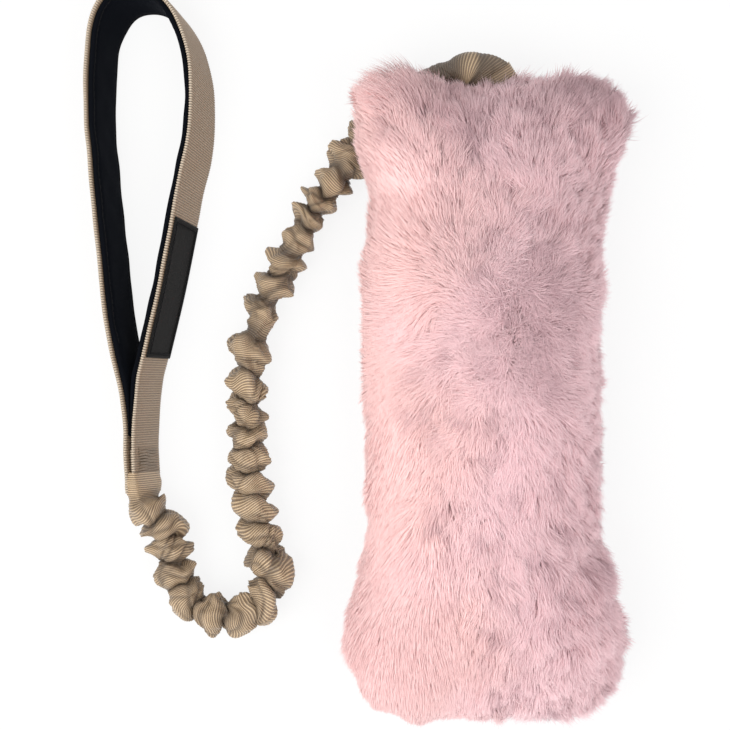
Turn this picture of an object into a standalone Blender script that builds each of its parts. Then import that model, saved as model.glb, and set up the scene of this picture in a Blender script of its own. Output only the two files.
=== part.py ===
"""Bungee tug toy: a stuffed fur body with a squeaker, a gathered bungee strap and a padded handle loop.

The toy lies flat on its back panel, as it is put away, with +Z up and the handle towards +Y.
Sizes below are in millimetres, measured in a layout whose X and Y axes run along the toy's own.
Every piece passes through layout_to_world, which puts the middle of the toy's box at the origin
and gives metres.
"""

import math
from bisect import bisect_right

import bmesh
import bpy
from mathutils import Vector

MM = 0.001
MIDDLE = Vector((-2.12, 4.74, 0.0))  # middle of the toy's box in the layout, without the strap
GAP = 0.3  # clearance between pieces that touch

# Toy body: a pillow with a waist and four soft ears, laid on its back
BODY_X, BODY_Y = 60.0, -21.0
HALF_LENGTH = 147.0
HALF_WAIST, FLARE = 54.0, 10.0
FLARE_TOP, FLARE_BOTTOM = (0.60, 0.92), (0.42, 0.80)  # where the flare starts and ends
TOP_DRIFT = 4.0  # the top end leans this far towards +X
EAR = 6.0
SIDE_POWER, END_POWER = 5.0, 12.0
SEAM_Z = 28.0
HALF_THICKNESS = 28.5  # 0.5 more than the seam's height, which the table flattens
PANEL = 6.0  # backing cloth and pressed pile
RIM_CHAMFER = 1.5
RIM_LAND = 2.5
OUTER_RINGS = (0.0, 0.03, 0.08, 0.16, 0.27, 0.41, 0.59, 0.81)
INNER_RINGS = (0.0, 0.07, 0.17, 0.32, 0.53, 0.79)
FLAT_RINGS = (0.12, 0.28, 0.50, 0.76)
ACROSS, ALONG = 10, 18  # outline segments on an end and on a side

# The strap passes below the body's top left corner and raises it
STRAP_LINE_POINT, STRAP_LINE_INWARD = (41.9, 130.8), (0.584, -0.812)
LIFT, LIFT_FROM, LIFT_OVER = 12.0, 12.0, 35.0
LIFT_END_X, LIFT_END_OVER = 36.0, 20.0
LIFT_LOSS = 0.65  # how much of the lift the stuffing takes up before the top face

# Squeaker in the middle of the stuffing
BULB_RADIUS, BULB_HALF_HEIGHT, BULB_WALL = 21.0, 10.0, 1.0
NECK_RADIUS, NECK_TOP, REED_RADIUS = 5.0, 12.0, 3.2
POCKET_CLEARANCE = 0.6

# Bungee: an elastic core inside a gathered sleeve of tubular webbing
CORE_RADIUS, BORE_RADIUS = 3.3, 4.2
CORE_STEP, SQUARE_END = 7.0, 1.5
FOLD_PITCH, FOLD_WANDER = 10.4, 1.2
VALLEY = 0.60  # radius of a valley against its crest
SLEEVE_SIDES, SLEEVE_GAP, FOLD_MARGIN = 12, 0.5, 3.5
STRAP_ROUTE = (
    (61.5, 130.2, 28.5), (58.6, 134.2, 28.8), (53.6, 136.2, 28.0), (46.5, 134.8, 24.0),
    (38.5, 128.6, 17.5), (30.0, 122.4, 11.0), (20.0, 115.2, 7.4), (9.0, 107.2, 6.8),
    (-1.5, 97.0, 7.6), (-8.8, 85.8, 9.2), (-14.9, 76.3, 10.3), (-22.0, 66.8, 10.5),
    (-26.8, 57.4, 10.5), (-31.5, 47.9, 10.5), (-35.6, 38.4, 10.5), (-40.6, 28.9, 10.5),
    (-44.8, 20.4, 10.5), (-48.3, 11.8, 10.5), (-50.8, 4.0, 10.5), (-52.2, -13.7, 10.5),
    (-51.9, -39.8, 10.5), (-50.4, -62.0, 10.5), (-48.1, -77.7, 10.5), (-44.8, -89.6, 10.5),
    (-41.4, -100.0, 10.5), (-42.6, -112.0, 10.5), (-49.8, -120.2, 10.5), (-59.5, -123.0, 10.5),
    (-69.4, -121.8, 10.5), (-78.0, -116.3, 10.5), (-84.0, -107.6, 10.5), (-87.6, -98.6, 10.5),
    (-89.6, -88.6, 10.5), (-92.0, -80.6, 10.6), (-96.8, -74.6, 11.2), (-100.4, -71.0, 11.5),
    (-101.3, -66.3, 11.5),
)
# Along the strap: distance from the seam, crest half width, crest half height, depth of the folds
STRAP_SECTIONS = (
    (0.0, 12.2, 2.2, 0.0), (6.0, 9.6, 5.6, 0.0), (12.0, 8.2, 7.6, 0.2), (24.0, 8.4, 7.2, 0.3),
    (36.0, 11.0, 6.2, 0.2), (60.0, 12.0, 6.2, 0.1), (84.0, 12.0, 6.6, 0.1), (98.0, 11.0, 8.4, 0.5),
    (110.0, 11.4, 10.2, 1.0), (384.0, 11.2, 10.2, 1.0), (396.0, 8.4, 10.2, 0.4), (406.0, 4.6, 10.8, 0.0),
)
CORE_START, CORE_END_MARGIN = 13.0, 8.0
STRETCH = 98.0  # length of each of the four long stretches of sleeve; the neck takes the rest

# Anchor tab: the end of the strap, sewn into the top seam
TAB_WIDTH, TAB_THICKNESS, TAB_INSIDE = 25.0, 3.0, 25.0
SLOT_CLEARANCE = 0.8

# Handle: a loop of webbing on edge, lined inside, both ends stitched together at the neck
WEBBING_WIDTH, WEBBING, LINING, LABEL = 25.0, 1.8, 2.3, 0.9
LEAN_X, LEAN_Y = -9.7, 9.7  # how far the upper edge stands off the lower one
LEAN_START, LEAN_OVER = -30.0, 190.0
LINING_END, LINING_TAPER = -38.0, 30.0
LINING_EDGE = 0.04  # the lining is this share narrower on each side
HANDLE_ROUTE = (
    (-95.5, -64.8), (-96.2, -51.7), (-96.4, -35.1), (-94.6, -13.3), (-92.0, -0.9), (-84.6, 30.3),
    (-78.0, 63.0), (-74.2, 81.1), (-71.3, 93.9), (-69.7, 107.1), (-69.4, 119.0), (-70.9, 133.2),
    (-74.7, 146.0), (-80.3, 156.4), (-87.9, 163.5), (-96.5, 166.1), (-105.0, 164.0),
    (-111.6, 157.4), (-115.7, 146.9), (-117.1, 132.2), (-117.6, 116.6), (-117.3, 102.4),
    (-115.9, 90.1), (-114.2, 70.6), (-111.4, 46.5), (-109.3, 25.6), (-106.9, 10.0),
    (-103.1, -6.6), (-100.0, -20.9), (-98.5, -35.1), (-98.4, -51.7), (-97.6, -64.8),
)
STRIP_STEP = 7.0
LABEL_FROM_Y, LABEL_TO_Y = -1.0, 61.6
NECK_TAB, NECK_TAB_TOP_Y = 1.5, -44.0
THREAD_RADIUS = 0.35
NECK_TURNS = 10  # zigzags of the stitching on each face of the neck

# Joint axes
SWING_PIVOT = Vector((61.5, 130.2, 28.5))
BEND_PIVOT = Vector((-59.5, -123.0, 10.5))
LIFT_PIVOT = Vector((-101.4, -64.8, 8.0))

COLOURS = {  # base colour, roughness, metallic
    "fur": ((0.80, 0.58, 0.58), 0.95, 0.0),
    "fill": ((0.85, 0.84, 0.80), 0.95, 0.0),
    "webbing": ((0.40, 0.31, 0.22), 0.75, 0.0),
    "lining": ((0.012, 0.013, 0.020), 0.85, 0.0),
    "label": ((0.010, 0.010, 0.012), 0.70, 0.0),
    "thread": ((0.36, 0.28, 0.20), 0.60, 0.0),
    "black_thread": ((0.015, 0.015, 0.018), 0.60, 0.0),
    "elastic": ((0.75, 0.72, 0.66), 0.70, 0.0),
    "squeaker": ((0.85, 0.85, 0.83), 0.40, 0.0),
    "reed": ((0.80, 0.80, 0.80), 0.35, 0.0),
}


def clear_scene():
    for thing in list(bpy.data.objects):
        bpy.data.objects.remove(thing, do_unlink=True)


def smooth(t):
    t = min(1.0, max(0.0, t))
    return t * t * (3 - 2 * t)


def mixed(table, s):
    """The row of a table at distance s, read between its neighbours."""
    if s <= table[0][0]:
        return table[0][1:]
    for low, high in zip(table, table[1:]):
        if s <= high[0]:
            t = (s - low[0]) / (high[0] - low[0])
            return tuple(a + (b - a) * t for a, b in zip(low[1:], high[1:]))
    return table[-1][1:]


def layout_to_world(point):
    return (Vector(point) - MIDDLE) * MM


def material(kind):
    found = bpy.data.materials.get(kind)
    if found:
        return found
    colour, roughness, metallic = COLOURS[kind]
    made = bpy.data.materials.new(kind)
    made.use_nodes = True
    shader = made.node_tree.nodes["Principled BSDF"]
    shader.inputs["Base Color"].default_value = (*colour, 1.0)
    shader.inputs["Roughness"].default_value = roughness
    shader.inputs["Metallic"].default_value = metallic
    return made


def add_object(name, data, pivot):
    piece = bpy.data.objects.new(name, data)
    piece.location = pivot
    bpy.context.scene.collection.objects.link(piece)
    return piece


def mesh_piece(name, points, faces, kind, pivot=MIDDLE):
    """A closed mesh from layout points, with its origin on the pivot."""
    origin = layout_to_world(pivot)
    mesh = bpy.data.meshes.new(name)
    mesh.from_pydata([layout_to_world(p) - origin for p in points], [], faces)
    work = bmesh.new()
    work.from_mesh(mesh)
    bmesh.ops.recalc_face_normals(work, faces=work.faces)
    work.to_mesh(mesh)
    work.free()
    mesh.materials.append(material(kind))
    mesh.shade_smooth()
    mesh.set_sharp_from_angle(angle=math.radians(50))
    return add_object(name, mesh, origin)


def cord_piece(name, points, radius, kind, pivot=MIDDLE, closed=False, sides=2):
    """A round cord or thread along layout points, as a curve with a round bevel."""
    origin = layout_to_world(pivot)
    curve = bpy.data.curves.new(name, "CURVE")
    curve.dimensions = "3D"
    curve.bevel_depth = radius * MM
    curve.bevel_resolution = sides
    curve.use_fill_caps = not closed
    spline = curve.splines.new("POLY")
    spline.points.add(len(points) - 1)
    for knot, point in zip(spline.points, points):
        knot.co = (*(layout_to_world(point) - origin), 1.0)
    spline.use_cyclic_u = closed
    curve.materials.append(material(kind))
    return add_object(name, curve, origin)


def cutter(piece):
    piece.hide_render = True
    piece.display_type = "WIRE"
    return piece


def carve(piece, *cutters, solver="EXACT"):
    """Takes the cutters out of a piece and keeps the result as its mesh."""
    for tool in cutters:
        cut = piece.modifiers.new("carve", "BOOLEAN")
        cut.operation = "DIFFERENCE"
        cut.solver = solver
        cut.object = tool
    graph = bpy.context.evaluated_depsgraph_get()
    piece.data = bpy.data.meshes.new_from_object(piece.evaluated_get(graph))
    piece.modifiers.clear()


class Route:
    """A smooth curve through a few points, read by the distance along it."""

    def __init__(self, knots, parts=10):
        knots = [Vector(k) if len(k) == 3 else Vector((*k, 0.0)) for k in knots]
        ends = [2 * knots[0] - knots[1], *knots, 2 * knots[-1] - knots[-2]]
        self.points = [knots[0]]
        for a, b, c, d in zip(ends, ends[1:], ends[2:], ends[3:]):
            for k in range(1, parts + 1):
                self.points.append(self.between(a, b, c, d, k / parts))
        self.marks = [0.0]
        for p, q in zip(self.points, self.points[1:]):
            self.marks.append(self.marks[-1] + (q - p).length)
        self.length = self.marks[-1]

    @staticmethod
    def between(a, b, c, d, t):
        return 0.5 * (
            2 * b
            + (c - a) * t
            + (2 * a - 5 * b + 4 * c - d) * t ** 2
            + (3 * b - a - 3 * c + d) * t ** 3
        )

    def at(self, s):
        s = min(self.length, max(0.0, s))
        k = min(len(self.points) - 2, max(0, bisect_right(self.marks, s) - 1))
        span = self.marks[k + 1] - self.marks[k]
        return self.points[k].lerp(self.points[k + 1], (s - self.marks[k]) / span)

    def heading(self, s, reach=1.5):
        return (self.at(s + reach) - self.at(s - reach)).normalized()

    def frame(self, s):
        """Place, heading, sideways and upward directions at distance s."""
        ahead = self.heading(s)
        side = ahead.cross(Vector((0, 0, 1))).normalized()
        return self.at(s), ahead, side, side.cross(ahead)


STRAP = Route(STRAP_ROUTE)
HANDLE = Route(HANDLE_ROUTE)


# Toy body

def flare(v):
    start, end = FLARE_TOP if v > 0 else FLARE_BOTTOM
    return FLARE * smooth((abs(v) - start) / (end - start))


def middle_x(v):
    return BODY_X + TOP_DRIFT * smooth((v - 0.35) / 0.5)


def on_unit_outline(a, b):
    """A point of the unit square's edge drawn in to the rounded outline."""
    low, high = 0.5, 1.0
    for _ in range(30):
        mid = (low + high) / 2
        if (mid * abs(a)) ** SIDE_POWER + (mid * abs(b)) ** END_POWER < 1:
            low = mid
        else:
            high = mid
    return a * low, b * low


def body_outline():
    """The seam line from above, clockwise from the middle of the top end."""
    half = ACROSS // 2
    right = [(k / half, 1.0) for k in range(half)]
    right += [(1.0, 1 - 2 * k / ALONG) for k in range(ALONG)]
    right += [(1 - k / half, -1.0) for k in range(half)]
    square = right + [(-a, -b) for a, b in right]
    points = []
    for a, b in square:
        u, v = on_unit_outline(a, b)
        ear = EAR * abs(u) ** 4 * max(0.0, b) ** 8
        points.append(Vector((
            middle_x(v) + (HALF_WAIST + flare(v)) * u, BODY_Y + HALF_LENGTH * v + ear, 0.0,
        )))
    return points


OUTLINE = body_outline()
SPINE = HALF_LENGTH - HALF_WAIST - FLARE


def spine_point(point):
    y = min(BODY_Y + SPINE, max(BODY_Y - SPINE, point.y))
    return Vector((middle_x((y - BODY_Y) / HALF_LENGTH), y, 0.0))


def crown(share):
    return math.sqrt(1 - (1 - share) ** 2.4)


def dome_rings(inset, base, rings, side):
    """Rings from the seam to the crown, inset from the fur surface; side is 1 above, -1 below."""
    made = []
    for share in rings:
        ring = []
        for rim in OUTLINE:
            spine = spine_point(rim)
            inward = spine - rim
            start = rim + inward * (inset / inward.length)
            rise = base + (HALF_THICKNESS - inset - base) * crown(share)
            place = start.lerp(spine, share)
            ring.append(Vector((place.x, place.y, SEAM_Z + side * rise)))
        made.append(ring)
    return made


def bands(start, rings, around):
    faces = []
    for r in range(rings - 1):
        for k in range(around):
            n = (k + 1) % around
            a, b = start + r * around, start + (r + 1) * around
            faces.append((a + k, a + n, b + n, b + k))
    return faces


def ladder(start, around):
    """Closes a ring whose two halves mirror each other, rung by rung."""
    half = around // 2
    faces = [(start, start + 1, start + around - 1)]
    for k in range(1, half - 1):
        faces.append((start + k, start + k + 1, start + around - k - 1, start + around - k))
    return faces + [(start + half - 1, start + half, start + half + 1)]


def shell(name, side, kind):
    """A panel: the fur surface, the rim that meets the seam, and the face against the stuffing."""
    around = len(OUTLINE)
    outer = dome_rings(0.0, RIM_CHAMFER, OUTER_RINGS, side)
    land = dome_rings(RIM_LAND, GAP / 2, (0.0,), side)
    inner = dome_rings(PANEL, GAP / 2, INNER_RINGS, side)
    rings = outer[::-1] + land + inner
    points = [p for ring in rings for p in ring]
    faces = bands(0, len(rings), around)
    faces += ladder(0, around) + ladder(len(points) - around, around)
    return mesh_piece(name, points, faces, kind)


def batt(name, side):
    """Half of the stuffing, flat where the halves meet before the strap lifts it."""
    around = len(OUTLINE)
    rings = dome_rings(PANEL + GAP, 2 * GAP, INNER_RINGS, side)
    flat = dome_rings(PANEL + GAP, 2 * GAP, FLAT_RINGS, side)
    for ring in flat:
        for point in ring:
            point.z = SEAM_Z + side * 2 * GAP
    rings = flat[::-1] + rings
    points = [p for ring in rings for p in ring]
    faces = bands(0, len(rings), around) + ladder(0, around) + ladder(len(points) - around, around)
    return mesh_piece(name, points, faces, "fill")


def lift_at(x, y):
    across, along = x - STRAP_LINE_POINT[0], y - STRAP_LINE_POINT[1]
    inward = across * STRAP_LINE_INWARD[0] + along * STRAP_LINE_INWARD[1]
    return (
        LIFT
        * (1 - smooth((inward - LIFT_FROM) / LIFT_OVER))
        * (1 - smooth((x - LIFT_END_X) / LIFT_END_OVER))
    )


def lifted(point):
    """Where the strap below pushes a point of the body."""
    share = min(1.0, max(0.0, point.z / (2 * SEAM_Z)))
    return Vector((point.x, point.y, point.z + lift_at(point.x, point.y) * (1 - LIFT_LOSS * share)))


def raise_corner(piece):
    for vertex in piece.data.vertices:
        layout = (vertex.co + piece.location) / MM + MIDDLE
        vertex.co = layout_to_world(lifted(layout)) - piece.location


def turned(name, profile, middle, kind, steps=24):
    """A turned solid from a profile of radius and height, top to bottom or round a closed wall."""
    work = bmesh.new()
    edge = [work.verts.new(Vector((r, 0.0, z))) for r, z in profile]
    closed = profile[0][0] > 0 or profile[-1][0] > 0
    lines = [work.edges.new(pair) for pair in zip(edge, edge[1:])]
    if closed:
        lines.append(work.edges.new((edge[-1], edge[0])))
    bmesh.ops.spin(work, geom=edge + lines, axis=(0, 0, 1), cent=(0, 0, 0), steps=steps, angle=2 * math.pi)
    bmesh.ops.remove_doubles(work, verts=work.verts, dist=1e-4)
    work.verts.index_update()
    points = [middle + v.co for v in work.verts]
    faces = [tuple(v.index for v in f.verts) for f in work.faces]
    work.free()
    return mesh_piece(name, points, faces, kind)


def lens(radius, height, steps=5):
    """Half of a lens's profile, from the rim up to the middle."""
    return [
        (radius * math.cos(k * math.pi / 2 / steps), height * math.sin(k * math.pi / 2 / steps))
        for k in range(steps + 1)
    ]


def bulb_profile():
    """The bellows with its open neck: up the outside, down the neck and round the inside."""
    outer = lens(BULB_RADIUS, BULB_HALF_HEIGHT)
    inner = lens(BULB_RADIUS - BULB_WALL, BULB_HALF_HEIGHT - BULB_WALL)
    hole = REED_RADIUS + GAP
    profile = [(r, -z) for r, z in outer[::-1]] + outer[1:-1]
    profile += [(NECK_RADIUS, outer[-2][1] + GAP), (NECK_RADIUS, NECK_TOP)]
    profile += [(hole, NECK_TOP), (hole, inner[-2][1] + GAP)]
    profile += inner[-2::-1] + [(r, -z) for r, z in inner[1:]]
    return [(max(0.0, round(r, 6)), z) for r, z in profile]


def box(name, middle, heading, along, width, height, kind="fill"):
    """A block round a middle line: along is its span on the heading, height its span in Z."""
    side = heading.cross(Vector((0, 0, 1))).normalized()
    points = [
        middle + heading * a + side * b * width / 2 + Vector((0, 0, c))
        for a in along for b in (-1, 1) for c in height
    ]
    faces = [(0, 1, 3, 2), (4, 6, 7, 5), (0, 4, 5, 1), (2, 3, 7, 6), (0, 2, 6, 4), (1, 5, 7, 3)]
    return mesh_piece(name, points, faces, kind)


def zigzag(middle, heading, width, along, turns):
    side = heading.cross(Vector((0, 0, 1))).normalized()
    step = (along[1] - along[0]) / turns
    return [
        middle + heading * (along[0] + step * k) + side * width * (0.5 if k % 2 else -0.5)
        for k in range(turns + 1)
    ]


def toy_body():
    front = shell("fur_front_panel", 1, "fur")
    back = shell("fur_back_panel", -1, "fur")
    fills = [batt("fill_front", 1), batt("fill_back", -1)]
    seam = Vector((0, 0, SEAM_Z))
    exit_at = Vector((SWING_PIVOT.x, SWING_PIVOT.y, 0)) + seam
    outward = (STRAP.heading(0) * Vector((1, 1, 0))).normalized()

    half = TAB_THICKNESS / 2
    slot_width = TAB_WIDTH + 2 * SLOT_CLEARANCE
    slot = cutter(box("cut_slot", exit_at, outward, (-TAB_INSIDE - 1, 12), slot_width,
                      (-half - SLOT_CLEARANCE, half + SLOT_CLEARANCE)))
    stitch_room = cutter(box("cut_stitch_room", exit_at, outward, (-TAB_INSIDE, -12), TAB_WIDTH - 3,
                             (0, half + 2 * GAP + 2 * THREAD_RADIUS + 1)))
    middle = Vector((BODY_X, BODY_Y, SEAM_Z))
    clear = POCKET_CLEARANCE
    pocket = [(0.0, NECK_TOP + 3), (NECK_RADIUS + clear, NECK_TOP + 3)]
    pocket += lens(BULB_RADIUS + clear, BULB_HALF_HEIGHT + clear)[-2::-1]
    pocket += [(r, -z) for r, z in lens(BULB_RADIUS + clear, BULB_HALF_HEIGHT + clear)[1:-1]]
    pocket = cutter(turned("cut_pocket", pocket + [(0.0, -BULB_HALF_HEIGHT - clear)], middle, "fill"))
    for piece in (front, back):
        carve(piece, slot)
    for piece in fills:
        carve(piece, slot, stitch_room, pocket, solver="MANIFOLD")

    turned("squeaker_bulb", bulb_profile(), middle, "squeaker")
    turned("squeaker_reed", [
        (0.0, NECK_TOP + 1.6), (NECK_RADIUS - 0.4, NECK_TOP + 1.6), (NECK_RADIUS - 0.4, NECK_TOP + GAP),
        (REED_RADIUS, NECK_TOP + GAP), (REED_RADIUS, NECK_TOP - 5), (0.0, NECK_TOP - 5),
    ], middle, "reed")

    tab = box("anchor_tab", exit_at, outward, (-TAB_INSIDE, -GAP), TAB_WIDTH, (-half, half), "webbing")
    stitches = zigzag(exit_at + Vector((0, 0, half + 2 * GAP + THREAD_RADIUS)), outward,
                      TAB_WIDTH - 12, (-TAB_INSIDE + 1.5, -18.5), 7)
    cord_piece("anchor_bartack", [lifted(p) for p in stitches], THREAD_RADIUS, "thread", sides=1)

    thread = []
    for rim in OUTLINE:
        inward = (spine_point(rim) - rim).normalized()
        place = rim + inward * 0.9
        place.z = SEAM_Z
        if (place - exit_at).length > TAB_WIDTH * 0.7:
            thread.append(lifted(place))
    start = max(range(len(thread)), key=lambda k: (thread[k] - thread[k - 1]).length)
    cord_piece("seam_thread", thread[start:] + thread[:start], 0.45, "thread", sides=1)

    for piece in (front, back, *fills, tab):
        raise_corner(piece)
    below = Vector((BODY_X, BODY_Y, 0))
    table = cutter(box("cut_table", below, Vector((0, 1, 0)), (-200, 200), 200, (-5, 0)))
    carve(back, table)


# Bungee strap

def fold_marks(start, end):
    """Crests and valleys of the gathers between two distances along the strap."""
    marks = []
    for k in range(int(STRAP.length / FOLD_PITCH) + 2):
        crest = k * FOLD_PITCH + FOLD_WANDER * math.sin(2.4 * k)
        marks += [(crest, 1, k), (crest + FOLD_PITCH / 2, 0, k)]
    return [m for m in marks if start + FOLD_MARGIN < m[0] < end - FOLD_MARGIN]


def sleeve_ring(s, crest, k, square=False):
    place, ahead, side, up = STRAP.frame(s)
    wide, high, depth = mixed(STRAP_SECTIONS, s)
    shrink = 1 - depth * (1 - VALLEY) * (1 - crest)
    sway = 0.0 if square else depth * 1.3 * (1 if k % 2 else -1) * crest
    slant = 0.0 if square else depth * 0.30 * math.sin(2 * math.pi * s / 90)
    ring = []
    for n in range(SLEEVE_SIDES):
        turn = 2 * math.pi * (n + 0.5) / SLEEVE_SIDES
        across = wide * shrink * math.cos(turn)
        point = place + side * (across + sway) + ahead * slant * across
        point += up * high * shrink * math.sin(turn)
        point.z = max(GAP, point.z)
        ring.append(point)
    return ring


def core_stations(start, end):
    """Distances along the core, with a short square piece at each end."""
    first, last = start + SQUARE_END, end - SQUARE_END
    count = max(1, round((last - first) / CORE_STEP))
    return [start, *(first + (last - first) * k / count for k in range(count + 1)), end]


def bore_ring(s):
    place, _, side, up = STRAP.frame(s)
    return [
        place + (side * math.cos(turn) + up * math.sin(turn)) * BORE_RADIUS
        for turn in (2 * math.pi * (n + 0.5) / SLEEVE_SIDES for n in range(SLEEVE_SIDES))
    ]


def sleeve(name, start, end, bore_from, bore_to, pivot):
    """A stretch of gathered sleeve with its bore, which may stop short of either end."""
    start, end = start + SLEEVE_GAP / 2, end - SLEEVE_GAP / 2
    outer = [sleeve_ring(start, 0, 0, square=True)]
    outer += [sleeve_ring(s, crest, k) for s, crest, k in fold_marks(start, end)]
    outer.append(sleeve_ring(end, 0, 0, square=True))
    open_start, open_end = bore_from <= start, bore_to >= end
    inner = [bore_ring(s) for s in core_stations(max(start, bore_from), min(end, bore_to))]
    sides = SLEEVE_SIDES
    points = [p for ring in outer + inner for p in ring]
    first = len(outer) * sides
    faces = bands(0, len(outer), sides) + bands(first, len(inner), sides)
    for is_open, a, b in ((open_start, 0, first), (open_end, first - sides, len(points) - sides)):
        if is_open:
            faces += [(a + k, a + (k + 1) % sides, b + (k + 1) % sides, b + k) for k in range(sides)]
        else:
            faces += [tuple(range(a, a + sides)), tuple(range(b, b + sides))]
    return mesh_piece(name, points, faces, "webbing", pivot)


def bungee():
    end = STRAP.length - GAP
    cuts = (0.0, *(STRETCH * k for k in (1, 2, 3, 4)), end)
    core_end = end - CORE_END_MARGIN
    names = ("root", "upper", "lower", "bend", "neck")
    pivots = (SWING_PIVOT, SWING_PIVOT, SWING_PIVOT, BEND_PIVOT, BEND_PIVOT)
    for name, start, stop, pivot in zip(names, cuts, cuts[1:], pivots):
        sleeve("sleeve_" + name, start, stop, CORE_START - 1, core_end + 1, pivot)
    spans = ((CORE_START, cuts[1]), (cuts[1], cuts[2]), (cuts[2], cuts[3]), (cuts[3], core_end))
    for name, (start, stop), pivot in zip(names, spans, pivots):
        points = [STRAP.at(s) for s in core_stations(start + GAP, stop - GAP)]
        cord_piece("core_" + name, points, CORE_RADIUS, "elastic", pivot)


# Handle

def lean_at(y):
    sideways = LEAN_Y * smooth((y - LEAN_START) / LEAN_OVER)
    return Vector((LEAN_X, sideways, math.sqrt(WEBBING_WIDTH ** 2 - LEAN_X ** 2 - sideways ** 2)))


def strip_point(s, offset, share):
    """A point of the handle strip: offset inwards from the webbing's inner face, share up its width."""
    place, _, side, _ = HANDLE.frame(s)
    return place - side * offset + lean_at(place.y) * share


def strip_stations(start, end):
    count = max(1, round((end - start) / STRIP_STEP))
    return [start + (end - start) * k / count for k in range(count + 1)]


def strip(name, start, end, near, far, low, high, kind):
    """A flat strip along the handle. near and far are offsets, or functions of the distance."""
    points = []
    for s in strip_stations(start, end):
        inside = far(s) if callable(far) else far
        points += [strip_point(s, near, low), strip_point(s, inside, low),
                   strip_point(s, inside, high), strip_point(s, near, high)]
    last = len(points) - 4
    faces = bands(0, len(points) // 4, 4) + [(0, 1, 2, 3), (last, last + 1, last + 2, last + 3)]
    return mesh_piece(name, points, faces, kind, LIFT_PIVOT)


def distance_at_y(y, right=True):
    """Distance along the right limb, or back along the left one, at which the strip reaches y."""
    steps = [k * 0.5 for k in range(int(HANDLE.length))]
    if not right:
        steps = [HANDLE.length - s for s in steps]
    return next(s for s in steps if HANDLE.at(s).y >= y)


def lining_depth(s):
    y = HANDLE.at(s).y
    return GAP + 0.5 + (LINING - 0.5) * smooth((y - LINING_END) / LINING_TAPER)


def handle():
    strip("handle_webbing", 0, HANDLE.length, 0, -WEBBING, 0, 1, "webbing")
    start, end = distance_at_y(LINING_END), distance_at_y(LINING_END, right=False)
    edge = LINING_EDGE
    strip("handle_lining", start, end, GAP, lining_depth, edge, 1 - edge, "lining")

    low, high = distance_at_y(LABEL_FROM_Y), distance_at_y(LABEL_TO_Y)
    face = -WEBBING - GAP
    strip("handle_label", low, high, face, face - LABEL, edge, 1 - edge, "label")
    out = face - LABEL - GAP - THREAD_RADIUS
    along = strip_stations(low + 2, high - 2)
    loop = [strip_point(s, out, 0.12) for s in along] + [strip_point(s, out, 0.88) for s in along[::-1]]
    cord_piece("label_stitching", loop, THREAD_RADIUS, "black_thread", LIFT_PIVOT, closed=True, sides=1)

    for name, share in (("lower", 0.10), ("upper", 0.90)):
        rows = strip_stations(distance_at_y(4.0), distance_at_y(4.0, right=False))
        points = [strip_point(s, lining_depth(s) + GAP + THREAD_RADIUS, share) for s in rows]
        cord_piece("lining_stitch_" + name, points, THREAD_RADIUS, "black_thread", LIFT_PIVOT, sides=1)

    neck_top = distance_at_y(NECK_TAB_TOP_Y)
    limbs = (("right", 3.0, neck_top), ("left", HANDLE.length - 3.0, HANDLE.length - neck_top))
    for name, first, last in limbs:
        step = (last - first) / NECK_TURNS
        points = [
            strip_point(first + step * k, -WEBBING - GAP - THREAD_RADIUS, 0.85 if k % 2 else 0.15)
            for k in range(NECK_TURNS + 1)
        ]
        cord_piece("neck_bartack_" + name, points, THREAD_RADIUS, "thread", LIFT_PIVOT, sides=1)

    points = []
    for s in (1.0, neck_top):
        right, left = strip_point(s, 0, 0), strip_point(HANDLE.length - s, 0, 0)
        middle, apart = (right + left) / 2, (right - left).normalized() * NECK_TAB / 2
        lean = lean_at(middle.y)
        points += [middle + apart + lean * 0.1, middle - apart + lean * 0.1,
                   middle - apart + lean * 0.9, middle + apart + lean * 0.9]
    faces = bands(0, 2, 4) + [(0, 1, 2, 3), (4, 5, 6, 7)]
    mesh_piece("handle_tab", points, faces, "webbing", LIFT_PIVOT)


clear_scene()
toy_body()
bungee()
handle()
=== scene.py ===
"""Looks of the bungee tug toy: long soft fur, a gathered webbing sleeve and a padded handle loop.

Shapes are worked out in millimetres, in the layout that the solids use, and pass through world().
A constant that is called a span holds where a change starts, over how much it runs, and sometimes how
large it gets, as rise() takes them.
"""

import math

import bpy
import numpy as np
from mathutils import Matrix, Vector
from mathutils.kdtree import KDTree

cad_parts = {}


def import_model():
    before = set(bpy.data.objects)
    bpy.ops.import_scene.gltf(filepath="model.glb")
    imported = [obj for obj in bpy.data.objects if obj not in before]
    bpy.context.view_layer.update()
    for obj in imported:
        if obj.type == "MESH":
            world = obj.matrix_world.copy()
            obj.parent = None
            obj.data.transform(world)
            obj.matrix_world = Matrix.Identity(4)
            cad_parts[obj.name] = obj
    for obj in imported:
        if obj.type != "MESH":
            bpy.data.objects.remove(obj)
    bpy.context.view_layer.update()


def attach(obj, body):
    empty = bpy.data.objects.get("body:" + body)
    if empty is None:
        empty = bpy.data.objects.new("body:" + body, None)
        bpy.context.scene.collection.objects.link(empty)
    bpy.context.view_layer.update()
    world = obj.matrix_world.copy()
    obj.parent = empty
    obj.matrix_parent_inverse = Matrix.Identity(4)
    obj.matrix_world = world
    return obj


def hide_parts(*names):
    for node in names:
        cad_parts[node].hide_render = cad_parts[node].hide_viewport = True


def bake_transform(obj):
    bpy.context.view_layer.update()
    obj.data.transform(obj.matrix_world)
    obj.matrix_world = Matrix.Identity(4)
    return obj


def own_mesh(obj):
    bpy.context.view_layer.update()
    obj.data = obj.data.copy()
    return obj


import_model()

MM = 0.001
MIDDLE = np.array((-2.12, 4.74, 0.0))
RNG = np.random.default_rng(7)

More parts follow.
